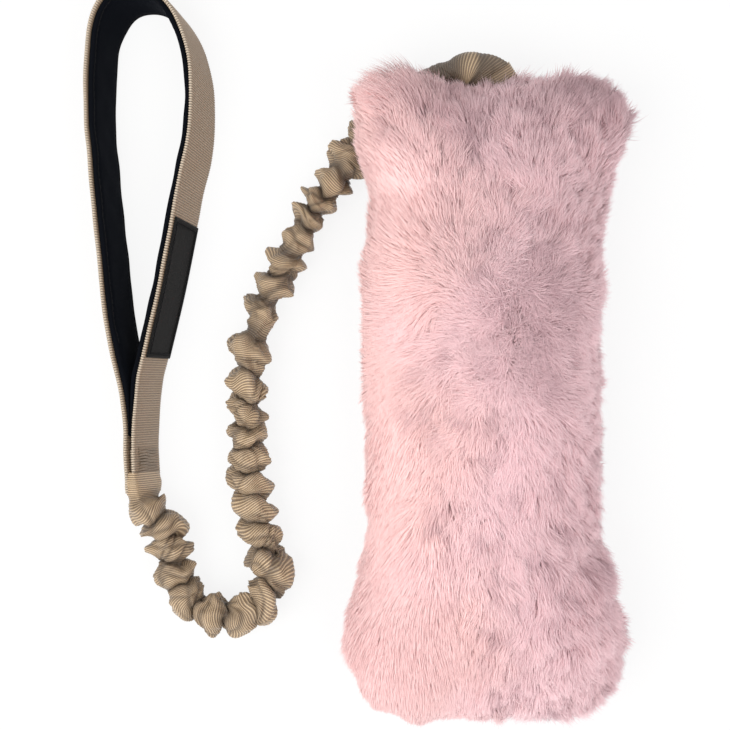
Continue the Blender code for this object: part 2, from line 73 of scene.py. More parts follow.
# Camera: straight above, at the photograph's scale on the height of the strap
LENS, SENSOR, IMAGE = 100.0, 36.0, 730
PIXEL, CENTRE_PX, ORIGIN_PX = 0.474, (365.0, 365.0), (356.5, 356.0)
SCALE_HEIGHT = 15.0

# Lamps: name, place, size, power and colour
LAMPS = (
    ("key", (-0.95, -0.50, 1.20), 1.8, 23.0, (1.0, 0.99, 0.97)),
    ("fill", (0.95, -0.55, 1.2), 1.4, 8.0, (0.99, 0.98, 1.0)),
)
WORLD_LIGHT = 0.57
FLOOR_HALF, FLOOR_Z, FLOOR_TONE, FLOOR_GLOW = 4.0, -0.0002, 0.96, 0.85

# Body, as the solids have it
BODY_X, BODY_Y = 60.0, -21.0
HALF_LENGTH = 147.0
HALF_WAIST, FLARE = 54.0, 10.0
SPINE = HALF_LENGTH - HALF_WAIST - FLARE
FLARE_TOP, FLARE_BOTTOM = (0.60, 0.92), (0.42, 0.80)
TOP_DRIFT = (0.35, 0.5, 4.0)  # span over the shares of half the length
EAR = 6.0
SIDE_POWER, END_POWER = 5.0, 12.0
DOME_POWER, RING_POWER, RINGS = 2.4, 1.8, 34
SEAM_RISE = 0.2
SEAM_Z, HALF_THICKNESS = 28.0, 28.5
STRAP_LINE_POINT, STRAP_LINE_INWARD = (41.9, 130.8), (0.584, -0.812)
LIFT, LIFT_FROM, LIFT_OVER = 12.0, 12.0, 35.0
LIFT_END_X, LIFT_END_OVER = 36.0, 20.0
LIFT_LOSS = 0.65
PANEL, FILL_GAP = 6.0, 0.6
BULB_RADIUS, BULB_HALF_HEIGHT = 21.0, 10.0
NECK_RADIUS, NECK_TOP, REED_RADIUS = 5.0, 12.0, 3.2
AXIS, TURNED_SIDES = 0.05, 40  # the radius at which a turned profile ends, and its sides
TAB_WIDTH, TAB_THICKNESS, TAB_INSIDE = 25.0, 3.0, 25.0
TACK_INSET, TACK_SHORTER, TACK_NARROWER, TACK_TURNS = 1.5, 20.0, 12, 7

# Backing of the fur: its depth below the solid's surface, and the cloth simulation that swells it
SKIN_INSET, SKIN_FLOOR = 4.0, 1.6
SWELL, SWELL_CAP = 1.2, 5.0  # how much it is expected to swell, and at most
VOXEL, HELD_NEAR_SEAM, HELD_WEIGHT = 5.5, 3.0, 0.7
CLOTH_STEPS, CLOTH = 20, {"quality": 5, "mass": 0.3, "use_pressure": True, "uniform_pressure_force": 4.0}

# Fur: the pile lies away from a short line, given by its x and its ends in y, and stands up round it
STRANDS, FRONT_FUR, BACK_FUR = 40000, 7, 3
FUR_LENGTH, FUR_WIDTH, FUR_CLUMP = 14.0, 0.30, 0.5
PARTING, PARTING_REACH = (69.0, 0.0, 22.0), 32.0
PARTING_SWAY, PARTING_TURN = 5, 15
FUR_SINKS = 58.0  # the pile sinks under its own weight above this height
TUFT, TUFT_WARP = 4.8, 1.5  # strands on this much of the backing lean together, in cells bent this much
TUFT_SEEDS, LOCKS, LOCK_SEED, LOCK_BAND = (50, 51, 52), 12, 41, 0.62
# Noise in the fur: shortest and longest wave, number of waves and seed
FUR_NOISE = {
    "broad turn": (36, 90, 8, 31), "fine turn": (11, 26, 12, 32), "length": (12, 30, 8, 33),
    "tint": (30, 80, 6, 34), "patches": (9, 26, 12, 35), "stand": (14, 40, 10, 36), "calm": (30, 80, 6, 37),
    "broad": (40, 95, 8, 38), "dark spots": (6, 15, 12, 39), "light spots": (6, 15, 12, 40),
    "tuft": (7, 18, 8),
}
# The calm left side of the front ends at this x, which spans move at its low and high ends
CALM_X, CALM_WANDER, CALM_FADE = 40, 9, (-22, 30)
CALM_LOW, CALM_HIGH = (40, 100, 26), (60, 60, 18)
# Length of the pile: its range and noise, then spans over x or y in which it is longer or shorter
LENGTH_RANGE, LENGTH_NOISE, LONG_TOP = (0.70, 1.08), 0.14, (85, 30, 0.10)
LONG_CORNER_X, LONG_CORNER = (21, 12), (98, 16, 0.62)
SHORT_RIGHT, RIGHT_MIDDLE, RIGHT_END, RIGHT_FADE = (88, 16, 0.28), 10, 112, 30
SHORT_BOTTOM, SHORT_LOW, SHORT_LOW_SIDES = (128, 22), 0.14, (34, 20, 0.22)
AT_STRAP_X, AT_STRAP_WIDTH, AT_STRAP, AT_STRAP_SHORTER = 54, 17, (100, 14), 0.36
# Turns of the pile's lie: size, how much more near the parting, and what share is lost where it is calm
SCATTER, BROAD_TURN, FINE_TURN = 0.9, (0.45, 0.7, 0.3), (0.34, 0.5, 0.85)
DOWNWARD, DOWNWARD_CALM = 0.25, 0.5  # how much the pile hangs on the sides
STAND_NOISE, STAND_PARTING, STAND_CALM_LOSS = 0.12, 0.45, 0.6
LIES_ON_TOP, LIES_ON_LEFT, STAND_LIMITS = 0.42, 0.15, (-0.6, 0.8)
TUFT_SWAY, TUFT_REACH, TUFT_PULL, ROUGH, ROUGH_CALM = 0.85, 0.30, 0.8, 0.11, 0.09
RESTING = (8.0, 6.0, 0.7)  # below the first height and over the second, roots lose this share of their stand
# Levels of a strand: how upright each part is, and its share of the length
STRAND_PARTS = ((0.58, 0.32), (0.38, 0.36), (0.18, 0.32))
CLUMP_SHARES, TIP_NARROWER = (0.15, 0.55, 1.0), 0.7
# The corners of a strand's three faces, by its seven points, and where they lie in its own square of the map
STRAND_CORNERS, STRAND_SIZES = ((0, 1, 3, 2), (2, 3, 5, 4), (4, 5, 6)), (4, 4, 3)
STRAND_ALONG = (0, 0, 0.35, 0.35, 0.7, 0.7, 1.0)
STRAND_MAP = np.array((
    (0.2, 0.12), (0.8, 0.12), (0.8, 0.40), (0.2, 0.40), (0.2, 0.40), (0.8, 0.40),
    (0.8, 0.64), (0.2, 0.64), (0.2, 0.64), (0.8, 0.64), (0.5, 0.88),
))
# Bright and dark spots on the front: middle and half width in x, then in y; the spot on the right is painted
# light where the pile slopes away
SWIRL, RIGHT_PAINTED_LIGHT, UPPER_SPOT = (75, 24, 20, 34), (108, 14, 26, 40), (42, 22, 56, 34)
SHADE, SHADE_CALM, SHADE_RUFFLED, SHADE_MOST = 0.02, 0.045, 0.03, 0.5
SHADE_GRAIN, SHADE_GRAIN_CALM = 0.026, 0.02
# Tint from warm pink to mauve: partly the fur's own tone, partly painted light, lit on the left and shaded on
# the right
TINT_WANDER, TINT_LOW, TINT = 10, (60, 80, 22), (18, 52)
SHADE_LOW, SHADE_LOW_RIGHT, LOW = 0.14, (40, 30, 0.01), (50, 60)
SHADE_TOP, SHADE_TOP_MIDDLE, SHADE_TOP_RIGHT, TOP = 0.05, (24, 26, 0.13), (80, 20, 0.05), (84, 34)

# Bungee strap, along the same route as its solids
STRAP_ROUTE = (
    (61.5, 130.2, 28.5), (58.6, 134.2, 28.8), (53.6, 136.2, 28.0), (46.5, 134.8, 24.0),
    (38.5, 128.6, 17.5), (30.0, 122.4, 11.0), (20.0, 115.2, 7.4), (9.0, 107.2, 6.8),
    (-1.5, 97.0, 7.6), (-8.8, 85.8, 9.2), (-14.9, 76.3, 10.3), (-22.0, 66.8, 10.5),
    (-26.8, 57.4, 10.5), (-31.5, 47.9, 10.5), (-35.6, 38.4, 10.5), (-40.6, 28.9, 10.5),
    (-44.8, 20.4, 10.5), (-48.3, 11.8, 10.5), (-50.8, 4.0, 10.5), (-52.2, -13.7, 10.5),
    (-51.9, -39.8, 10.5), (-50.4, -62.0, 10.5), (-48.1, -77.7, 10.5), (-44.8, -89.6, 10.5),
    (-41.4, -100.0, 10.5), (-42.6, -112.0, 10.5), (-49.8, -120.2, 10.5), (-59.5, -123.0, 10.5),
    (-69.4, -121.8, 10.5), (-78.0, -116.3, 10.5), (-84.0, -107.6, 10.5), (-87.6, -98.6, 10.5),
    (-89.6, -88.6, 10.5), (-92.0, -80.6, 10.6), (-96.8, -74.6, 11.2), (-100.4, -71.0, 11.5),
    (-101.3, -66.3, 11.5),
)
STRAP_END = 406.3  # where the solid sleeve stops
CUFF_ROUTE = ((-101.35, -60.0, 11.5), (-101.35, -54.0, 11.5))
CUFF_LEAN = (396.0, 10, 0.398)  # span over which the cloth turns to the handle's lean
# Stretches: name, the bodies that it joins, where its bend starts and ends on it, and where it starts
STRETCHES = (
    ("root", ("toy_body", "strap_upper"), (4, 60), 0.0),
    ("upper", ("strap_upper", "strap_middle"), (12, 86), 98.0),
    ("lower", ("strap_middle", "strap_lower"), (12, 86), 196.0),
    ("bend", ("strap_lower", "strap_tail"), (10, 84), 294.0),
    ("neck", ("strap_tail", "handle"), (1, 12), 392.0),
)
CORE_RADIUS, CORE_START, CORE_END_MARGIN, CORE_SIDES = 3.3, 13.0, 8.0, 16
# Along the strap: distance, half width, half height, depth of the gathers
SECTIONS = np.array((
    (0.0, 11.8, 2.6, 0.0), (5.0, 10.4, 5.2, 0.0), (11.0, 9.0, 7.0, 0.10), (22.0, 8.6, 7.0, 0.15),
    (36.0, 11.0, 6.2, 0.12), (60.0, 12.0, 6.2, 0.10), (72.0, 12.0, 7.2, 0.45), (86.0, 11.6, 8.4, 0.80),
    (97.0, 11.0, 9.0, 0.9), (106.0, 11.4, 9.8, 1.0), (388.0, 11.6, 9.8, 1.0), (397.0, 9.6, 10.4, 0.8),
    (403.0, 7.0, 11.2, 0.45), (408.0, 5.0, 12.4, 0.15), (413.0, 3.8, 13.0, 0.0), (417.0, 2.5, 12.2, 0.0),
))
# Each gather's crest: distance on the inner side of the U, on its outer side, and how far each stands out
GATHERS = np.array((
    (76.0, 79.0, 12.3, 12.2), (88.0, 91.0, 12.3, 11.4), (99.5, 103.5, 10.8, 10.4), (113.5, 111.5, 12.3, 9.0),
    (123.0, 123.5, 12.3, 7.5), (134.5, 134.0, 8.0, 10.6), (144.5, 148.0, 12.3, 9.4),
    (157.0, 158.5, 12.3, 10.4), (169.8, 173.0, 12.3, 8.0), (189.5, 195.0, 12.2, 11.8),
    (203.8, 212.5, 10.2, 10.8), (218.0, 222.8, 11.2, 10.6), (228.0, 233.3, 10.8, 10.6),
    (238.5, 244.2, 10.4, 10.6), (250.5, 258.0, 12.3, 11.6), (264.5, 270.1, 10.8, 11.4),
    (275.0, 282.9, 10.4, 11.2), (288.0, 300.5, 12.2, 12.2), (305.5, 315.0, 11.0, 11.8),
    (322.0, 328.0, 9.5, 11.8), (339.0, 340.5, 10.4, 12.0), (353.0, 352.0, 10.4, 12.2),
    (363.5, 366.5, 10.8, 12.2), (375.0, 380.0, 12.2, 12.0), (386.5, 392.5, 12.3, 12.3),
))
PLAIN_PITCH, WAVES_BEFORE, WAVES_AFTER = 12.6, 12, 5  # faint waves beyond the gathers
STRAP_STEP, STRAP_BEYOND, SOFT_TURN, SOFT_REACH = 0.1, 60.0, 1.6, 1.5
LEAST_TURN = 0.2
GATHERED, GATHERED_END = (66, 14), 14
SLIM_FROM, SLIM_TO = (74, 18), (186, 22)  # spans between which the strap is slimmer
SLIM_VALLEY, SLIM_POWER, SLIM_LEAN = 0.4, 1.1, 0.55
VALLEY_RADIUS, THINNEST, WIDEST = 5.0, 3.9, 11.9
PLAIN_VALLEY, VALLEY_POWER, TOP_VALLEY = 0.5, 1.7, 0.72
PLEATS, PLEATS_MEAN, SQUARENESS = 1.35, 0.6, 0.10
ROOT_SHIFT, ROOT_SHIFT_END = (0, 8, -3.0), (18, 14)  # the first bend is fuller on its inner side
OVERHANG = 0.85  # how far a crest leans out over its valleys, 1 where they touch
RIB_PITCH, RIB_HEIGHT, ROWS_A_RIB = 1.08, 0.27, 5
RIB_LINES = np.pi * np.array((0.0, 0.4, 0.6, 1.0))  # turns at which the cloth's length is measured
CREASE_DEPTH, CREASE_WIDTH, CREASE_PLAIN, SLANT, FOLD_STRETCH, FOLD_SHARE = 1.7, 0.33, 0.15, 6.0, 1.3, 0.6
TUCK_AT, TUCK_SLANT, TUCK_WIDTH = 4.6, 2.8, 1.5  # the fold where the strap leaves the seam
GROOVE_PAST, GROOVE_WANDER, GROOVE_SLANT, GROOVE_WIDTH, GROOVE_SHARE = 0.7, 0.9, 0.7, 0.34, 0.85
REEL, REEL_NOISE, REEL_END = 0.50, (16, 45, 8, 9), (372, 10, 0.9)
NECK_SQUARE = (400, 13, 0.65)
# Noise in the cloth: size, mm for a turn's cosine and sine, shortest and longest wave, number and seed
CLOTH_NOISE = {
    "valley": (1.3, 6, 0, 14, 40, 7, 6), "crumple": (0.65, 9, 9, 5, 11, 14, 3),
    "pleats": (1, 8, 8, 5, 12, 9, 5), "fold": (1, 3, 4, 8, 17, 9, 15), "strong": (1, 5, 0, 11, 30, 7, 16),
    "wander": (1, 7, 7, 14, 40, 8, 17), "slip": (0.5, 9, 9, 7, 14, 10, 4),
    "long slip": (1.8, 9, 9, 16, 38, 9, 8),
}
# Painted light and shade on the cloth: painted highlight on crests, painted shade in creases and at the tuck,
# and painted shade at the root with a painted highlight on its fold
CREST_POWER, CREASE_PAINTED_SHADE, TUCK_PAINTED_SHADE, LEAST_BRIGHT = 0.95, 0.75, 0.8, 0.05
ROOT_FOLD, ROOT_FOLD_AT, ROOT_FOLD_WIDTH, ROOT_START, ROOT_SHADE_FADE = 0.9, 9.0, 3.6, (2, 3), (44, 22)
ROOT_START_BRIGHT = 0.12
SLEEVE_SIDES, SLEEVE_FLOOR = 60, 0.1

# Handle, along the same route as its solids
WEBBING_WIDTH, WEBBING, LINING, LABEL = 25.0, 1.8, 2.3, 0.9
GAP = 0.3
LEAN_X, LEAN_Y = -9.7, (-30.0, 190.0, 9.7)  # the second as a span over y
LINING_THINNEST, LINING_END, LINING_TAPER, LINING_EDGE = 0.5, -38.0, 30.0, 0.04
HANDLE_ROUTE = (
    (-95.5, -64.8), (-96.2, -51.7), (-96.4, -35.1), (-94.6, -13.3), (-92.0, -0.9), (-84.6, 30.3),
    (-78.0, 63.0), (-74.2, 81.1), (-71.3, 93.9), (-69.7, 107.1), (-69.4, 119.0), (-70.9, 133.2),
    (-74.7, 146.0), (-80.3, 156.4), (-87.9, 163.5), (-96.5, 166.1), (-105.0, 164.0),
    (-111.6, 157.4), (-115.7, 146.9), (-117.1, 132.2), (-117.6, 116.6), (-117.3, 102.4),
    (-115.9, 90.1), (-114.2, 70.6), (-111.4, 46.5), (-109.3, 25.6), (-106.9, 10.0),
    (-103.1, -6.6), (-100.0, -20.9), (-98.5, -35.1), (-98.4, -51.7), (-97.6, -64.8),
)
LABEL_FROM_Y, LABEL_TO_Y, SEAMS_FROM_Y = -1.0, 61.6, 4.0
NECK_TAB, NECK_TAB_TOP_Y, NECK_TURNS, NECK_TACK_FROM = 1.5, -44.0, 26, 3.0
WEBBING_PITCH, WEBBING_RIB = 1.15, 0.20
WEBBING_SAG, SAG_NOISE, NOISE_ACROSS = 0.14, (14, 50, 9, 12), 25
RIM_SWELL, RIM_MEAN, STRIP_FLOOR, SOFT_RIM = 0.035, 0.6, 0.15, 0.06
STRIP_STEP, LABEL_STEP, LABEL_ROWS, STRIP_REACH = 1.2, 0.5, 70, 1.5
# Padding: its fullness, its two stitched channels over the width, its crown and its lumps
PADDING_FULL, CHANNELS, CHANNEL_WIDTH, CHANNEL_DEPTH = 1.2, (0.065, 0.935), 0.045, 0.20
CROWN_LOSS, LUMPS, LUMP_NOISE = 0.12, 0.05, (10, 30, 10, 21)
# Label: the distance from its ends and from its sides at which its border ends, and the border's ridge
BORDER_MM, BORDER_SHARE, RIDGE_AT, RIDGE_WIDTH, LABEL_PLAIN = 1.4, 0.055, 0.6, 0.45, 0.62
BORDER_STITCH, STITCH, STITCH_STEP = (2.2, -0.5), (3.0, 0.55), 0.4  # each stitch's length and sink
STITCH_PROUD, BORDER_INSET, BORDER_LINES, LINING_LINES = 0.15, 2, (0.12, 0.88), (0.10, 0.90)
TACK_LOW, TACK_SPAN, NECK_TAB_LOW, NECK_TAB_SHARE, STEPS_A_TURN = 0.15, 0.7, 0.1, 0.8, 8
LABEL_THREAD, LINING_THREAD, NECK_THREAD, TACK_THREAD, SEAM_THREAD = 0.22, 0.28, 0.30, 0.35, 0.45


def world(points):
    return (np.asarray(points, float) - MIDDLE) * MM


def smooth(t):
    t = np.clip(t, 0.0, 1.0)
    return t * t * (3 - 2 * t)


def rise(x, start, over, amount=1):
    """0 up to start, then growing smoothly to amount over the given length."""
    return amount * smooth((x - start) / over)


def hill(x, middle, width):
    return np.exp(-((x - middle) / width) ** 2)


def running(steps):
    """The sums of the steps so far, from 0."""
    return np.concatenate(((0,), np.cumsum(steps)))


def turns_round(sides):
    return 2 * np.pi * np.arange(sides) / sides


def kept_above(points, floor):
    points[..., 2] = np.maximum(points[..., 2], floor)
    return points


def unit(vectors):
    return vectors / np.maximum(np.linalg.norm(vectors, axis=-1, keepdims=True), 1e-12)


def waves(coordinates, noise):
    """Smooth values between about -1 and 1, as a sum of sine waves."""
    shortest, longest, count, seed = noise
    rng = np.random.default_rng(seed)
    total = 0.0
    for _ in range(count):
        turn = rng.uniform(0, 2 * np.pi)
        heading = unit(rng.normal(size=len(coordinates)))
        length = rng.uniform(shortest, longest)
        total = total + np.sin(2 * np.pi * sum(c * h for c, h in zip(coordinates, heading)) / length + turn)
    return total / math.sqrt(count)


class Route:
    """A smooth curve through a few points, read by the distance along it."""

    def __init__(self, knots, parts=24):
        knots = np.array([(*knot, 0.0)[:3] for knot in knots], float)
        ends = np.vstack((2 * knots[0] - knots[1], knots, 2 * knots[-1] - knots[-2]))
        t = np.arange(parts)[:, None] / parts
        pieces = [
            0.5 * (
                2 * b
                + (c - a) * t
                + (2 * a - 5 * b + 4 * c - d) * t ** 2
                + (3 * b - a - 3 * c + d) * t ** 3
            )
            for a, b, c, d in zip(ends, ends[1:], ends[2:], ends[3:])
        ]
        self.points = np.vstack((*pieces, knots[-1]))
        steps = np.linalg.norm(np.diff(self.points, axis=0), axis=1)
        self.marks = running(steps)
        self.length = self.marks[-1]

    def at(self, s):
        return np.stack([np.interp(s, self.marks, self.points[:, k]) for k in range(3)], axis=-1)

    def frame(self, s, reach=2.5):
        """Place, heading, sideways and upward directions at distances s."""
        ahead = unit(self.at(np.asarray(s) + reach) - self.at(np.asarray(s) - reach))
        side = unit(np.cross(ahead, (0.0, 0.0, 1.0)))
        return self.at(s), ahead, side, np.cross(side, ahead)


STRAP = Route((*STRAP_ROUTE, *CUFF_ROUTE))
HANDLE = Route(HANDLE_ROUTE)


# Materials

def add(tree, kind, values=None, **settings):
    """A node with its settings; its inputs are plain values, or the sockets that feed them."""
    node = tree.nodes.new("ShaderNode" + kind)
    for key, value in settings.items():
        setattr(node, key, value)
    for key, value in (values or {}).items():
        if isinstance(value, bpy.types.NodeSocket):
            tree.links.new(value, node.inputs[key])
        else:
            node.inputs[key].default_value = value
    return node


def new_look(name, roughness=0.8, specular=0.3, sheen=0.0, sheen_tint=(1, 1, 1)):
    look = bpy.data.materials.new(name)
    look.use_nodes = True
    shader = look.node_tree.nodes["Principled BSDF"]
    values = {"Roughness": roughness, "Specular IOR Level": specular, "Sheen Weight": sheen}
    for key, value in (*values.items(), ("Sheen Tint", (*sheen_tint, 1.0))):
        shader.inputs[key].default_value = value
    return look, look.node_tree, shader


def paint(tree, shader, colour, height=None, strength=0.0, distance=0.0):
    """Feeds the shader its colour and, where a height is given, its bumps."""
    tree.links.new(colour, shader.inputs["Base Color"])
    if height:
        node = add(tree, "Bump", {"Height": height, "Strength": strength, "Distance": distance})
        tree.links.new(node.outputs["Normal"], shader.inputs["Normal"])


def ramp(tree, factor, *stops):
    """Colours by place: each stop is a place from 0 to 1 and a colour."""
    node = add(tree, "ValToRGB", {"Fac": factor})
    marks = node.color_ramp.elements
    while len(marks) < len(stops):
        marks.new(0.5)
    for mark, (place, colour) in zip(marks, stops):
        mark.position = place
        mark.color = (*colour, 1.0)
    return node.outputs["Color"]


def attribute(tree, name):
    return add(tree, "Attribute", attribute_name=name).outputs["Fac"]


def noise(tree, scale, detail=3.0):
    return add(tree, "TexNoise", {"Scale": scale, "Detail": detail, "Roughness": 0.5}).outputs["Fac"]


def bands(tree, vector, direction, distortion, detail=2.0, scale=1.0):
    values = {"Vector": vector, "Scale": scale, "Distortion": distortion, "Detail": detail}
    return add(tree, "TexWave", values, wave_type="BANDS", bands_direction=direction).outputs["Fac"]


def mix_colour(tree, factor, a, b, blend="MIX"):
    """Two colours mixed; the node keeps its factor at 0 and its colours at 6 and 7."""
    a, b = (colour if isinstance(colour, bpy.types.NodeSocket) else (*colour, 1.0) for colour in (a, b))
    node = add(tree, "Mix", {0: factor, 6: a, 7: b}, data_type="RGBA", blend_type=blend)
    return next(socket for socket in node.outputs if socket.type == "RGBA")


def math_node(tree, operation, a, b=0.0, c=0.0):
    return add(tree, "Math", {0: a, 1: b, 2: c}, operation=operation).outputs[0]


def times(tree, a, b):
    return math_node(tree, "MULTIPLY", a, b)


def yarn_coordinates(tree, across, along):
    """The piece's own flat map, with across and along as the numbers of yarns each way."""
    flat = add(tree, "UVMap", uv_map="OFBake").outputs["UV"]
    return add(tree, "Mapping", {"Vector": flat, "Scale": (across, along, 1.0)}).outputs["Vector"]


def webbing_look(name, across, along, gathered=False):
    """Ribbed polyester webbing: rib tops wrapped in fine yarns with a painted highlight, grooves with painted
    shade, dusty patches, and painted shade in the gathered sleeve's folds.
    """
    look, tree, shader = new_look(name, 0.36 if gathered else 0.45, specular=0.6, sheen=0.12)
    rib = attribute(tree, "rib")
    # Rib tones: painted highlight on the rib tops and painted shade in the grooves, over the ribs' own relief
    if gathered:
        tones = (0.095, 0.057, 0.029), (0.28, 0.184, 0.102), (0.60, 0.425, 0.258), (1.0, 0.845, 0.620)
    else:
        tones = (0.09, 0.059, 0.036), (0.18, 0.123, 0.078), (0.30, 0.210, 0.138), (0.58, 0.430, 0.300)
    tone = ramp(tree, rib, *zip((0.0, 0.45, 0.8, 1.0), tones))
    strands = bands(tree, yarn_coordinates(tree, across, along), "X", 1.5, 1.0)
    shaded = mix_colour(tree, times(tree, strands, 0.30), tone, (0.13, 0.088, 0.055))
    faded = mix_colour(tree, times(tree, noise(tree, 30.0, 5.0), 0.35), shaded, (0.40, 0.315, 0.235))
    # Bright flecks: lighter fibres in the yarn, partly painted glints
    flecks_and_glints = times(tree, math_node(tree, "SUBTRACT", noise(tree, 1400.0, 1.0), 0.5), 1.2)
    final = mix_colour(tree, flecks_and_glints, faded, (0.92, 0.76, 0.57) if gathered else (0.62, 0.50, 0.37))
    if gathered:
        # Painted shade: valleys, creases, the tuck and the root darken by the lifted attribute
        sunk = times(tree, math_node(tree, "SUBTRACT", 1.0, attribute(tree, "lifted")), 0.88)
        final = mix_colour(tree, sunk, final, (0.052, 0.033, 0.020))
    else:
        uneven = math_node(tree, "MULTIPLY_ADD", noise(tree, 520.0, 2.0), 1.3, times(tree, rib, 0.4))
        loops = ramp(tree, uneven, (0.62, (0.035, 0.024, 0.017)), (1.0, (0.80, 0.70, 0.59)))
        final = mix_colour(tree, attribute(tree, "edge"), final, loops)
    final = mix_colour(tree, 1.0, final, (1.0, 0.945, 0.850), "MULTIPLY")
    height = math_node(tree, "ADD", times(tree, strands, 0.6), noise(tree, 900.0, 2.0))
    paint(tree, shader, final, height, 0.4, 0.0002)
    return look


def lining_look():
    look, tree, shader = new_look("lining_fleece", 0.9, 0.05, 0.02, sheen_tint=(0.55, 0.62, 0.8))
    knit = bands(tree, yarn_coordinates(tree, 60.0, 620.0), "Y", 2.0)
    pile = noise(tree, 700.0)
    tone = ramp(tree, pile, (0.25, (0.0010, 0.0013, 0.0022)), (0.75, (0.0038, 0.0048, 0.0075)))
    final = mix_colour(tree, times(tree, noise(tree, 45.0, 4.0), 0.5), tone, (0.0050, 0.0062, 0.0095))
    paint(tree, shader, final, math_node(tree, "ADD", times(tree, knit, 0.5), pile), 0.4, 0.0003)
    return look


def label_look():
    look, tree, shader = new_look("label_weave", 0.65, specular=0.18)
    flat = yarn_coordinates(tree, 110.0, 150.0)
    weave = add(tree, "TexChecker", {"Vector": flat, "Scale": 1.0}).outputs["Fac"]
    rows = bands(tree, flat, "Y", 0.4, scale=0.5)
    tone = mix_colour(tree, times(tree, weave, 0.6), (0.0022, 0.0021, 0.0021), (0.0072, 0.0068, 0.0066))
    final = mix_colour(tree, times(tree, noise(tree, 120.0, 4.0), 0.35), tone, (0.013, 0.012, 0.012))
    paint(tree, shader, final, math_node(tree, "ADD", weave, rows), 0.4, 0.0002)
    return look


def thread_look(name, dark, light, specular=0.45, sheen=0.15):
    look, tree, shader = new_look(name, 0.5, specular, sheen)
    ply = bands(tree, yarn_coordinates(tree, 2.0, 900.0), "DIAGONAL", 0.3)
    paint(tree, shader, ramp(tree, ply, (0.2, dark), (0.8, light)), ply, 0.5, 0.0001)
    return look


def mottled_look(name, dark, light, grain, relief=None, strength=0.0, distance=0.0, **values):
    """Two tones mixed by noise, with bumps from finer noise; grain and relief are a scale and a detail."""
    look, tree, shader = new_look(name, **values)
    tone = ramp(tree, noise(tree, *grain), (0.3, dark), (0.7, light))
    paint(tree, shader, tone, relief and noise(tree, *relief), strength, distance)
    return look


def fur_look(name):
    """Long soft pile, darker at the roots with painted shade; tint runs from warm pink to mauve."""
    look, tree, shader = new_look(name, 0.75, 0.15, 0.35, sheen_tint=(1.0, 0.9, 0.92))
    along = attribute(tree, "along")
    # Each ramp is darker at the root: painted shade deep in the pile
    warm, mauve = (ramp(tree, along, *zip((0.0, 0.45, 1.0), tones)) for tones in (
        ((1.0, 0.655, 0.635), (1.0, 0.67, 0.65), (1.0, 0.695, 0.675)),
        ((0.82, 0.52, 0.56), (0.95, 0.64, 0.67), (1.0, 0.74, 0.77)),
    ))
    mixed = mix_colour(tree, attribute(tree, "tint"), warm, mauve)
    paint(tree, shader, mix_colour(tree, attribute(tree, "shade"), mixed, (0.46, 0.25, 0.29)))
    return look


# Meshes

def named_mesh(name, points, faces_flat, sizes, uv, layers):
    """A mesh from flat arrays: points, the corners of all faces, each face's number of corners."""
    mesh = bpy.data.meshes.new(name)
    mesh.vertices.add(len(points))
    mesh.vertices.foreach_set("co", np.asarray(points, np.float32).ravel())
    mesh.loops.add(len(faces_flat))
    mesh.loops.foreach_set("vertex_index", np.asarray(faces_flat, np.int32))
    mesh.polygons.add(len(sizes))
    mesh.polygons.foreach_set("loop_start", running(sizes)[:-1].astype(np.int32))
    mesh.update(calc_edges=True)
    mesh.uv_layers.new(name="OFBake").data.foreach_set("uv", np.asarray(uv, np.float32).ravel())
    for layer, values in layers.items():
        data = mesh.attributes.new(layer, "FLOAT", "POINT").data
        data.foreach_set("value", np.asarray(values, np.float32).ravel())
    mesh.polygons.foreach_set("use_smooth", np.ones(len(sizes), bool))
    return mesh


def grid_mesh(name, grid, caps=True, layers=None):
    """A mesh over closed rows of points; caps fill the first and last row."""
    rows, around = grid.shape[:2]
    r = np.repeat(np.arange(rows - 1), around)
    c = np.tile(np.arange(around), rows - 1)
    n = (c + 1) % around
    quads = np.stack((r * around + c, r * around + n, (r + 1) * around + n, (r + 1) * around + c), -1)
    u = np.stack((c, c + 1, c + 1, c), -1) / around
    v = np.stack((r, r, r + 1, r + 1), -1) / (rows - 1)
    flat, sizes = quads.ravel(), np.full(len(quads), 4)
    uv = np.stack((u.ravel(), v.ravel()), -1)
    if caps:
        ends = np.concatenate((np.arange(around)[::-1], (rows - 1) * around + np.arange(around)))
        flat, sizes = np.concatenate((flat, ends)), np.concatenate((sizes, (around, around)))
        uv = np.vstack((uv, np.zeros((2 * around, 2))))
    points = grid.reshape(-1, 3)
    if enclosed_volume(points, quads) < 0:
        flat, uv = turned_over(flat, sizes), turned_over(uv, sizes)
    full = {layer: np.broadcast_to(values, (rows, around)) for layer, values in (layers or {}).items()}
    return named_mesh(name, world(points), flat, sizes, uv, full)


def enclosed_volume(points, quads):
    a, b, c, d = (points[quads[:, k]] for k in range(4))
    return float((np.cross(a, b) * c).sum() + (np.cross(a, c) * d).sum()) / 6


def turned_over(corners, sizes):
    """The faces' corners in the opposite order."""
    starts = running(sizes)[:-1]
    where = np.repeat(starts + sizes - 1, sizes) - (np.arange(len(corners)) - np.repeat(starts, sizes))
    return corners[where]


def placed(name, data):
    """An object in the scene."""
    made = bpy.data.objects.new(name, data)
    bpy.context.scene.collection.objects.link(made)
    return made


def make_piece(name, mesh, look):
    mesh.materials.append(look)
    piece = placed(name, mesh)
    return piece


def grid_piece(name, node, grid, look, slot, **options):
    """A piece over rows of points, in place of the solid of the given node."""
    piece = make_piece(name, grid_mesh(name, grid, **options), look)
    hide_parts(node)
    return piece


def tube_rows(places, headings, radius, sides):
    """Rings round a line of places."""
    side = unit(np.cross(headings, (0.0, 0.0, 1.0)))
    up = np.cross(side, headings)
    turn = turns_round(sides)
    across, above = radius * np.cos(turn)[None, :, None], radius * np.sin(turn)[None, :, None]
    return places[:, None] + across * side[:, None] + above * up[:, None]


def thread_piece(name, node, points, radius, look, slot, closed=False):
    if closed:
        points = np.vstack((points, points[:1]))
    ahead = unit(np.gradient(points, axis=0))
    return grid_piece(name, node, tube_rows(points, ahead, radius, 8), look, slot, caps=not closed)


# Camera, lights and floor

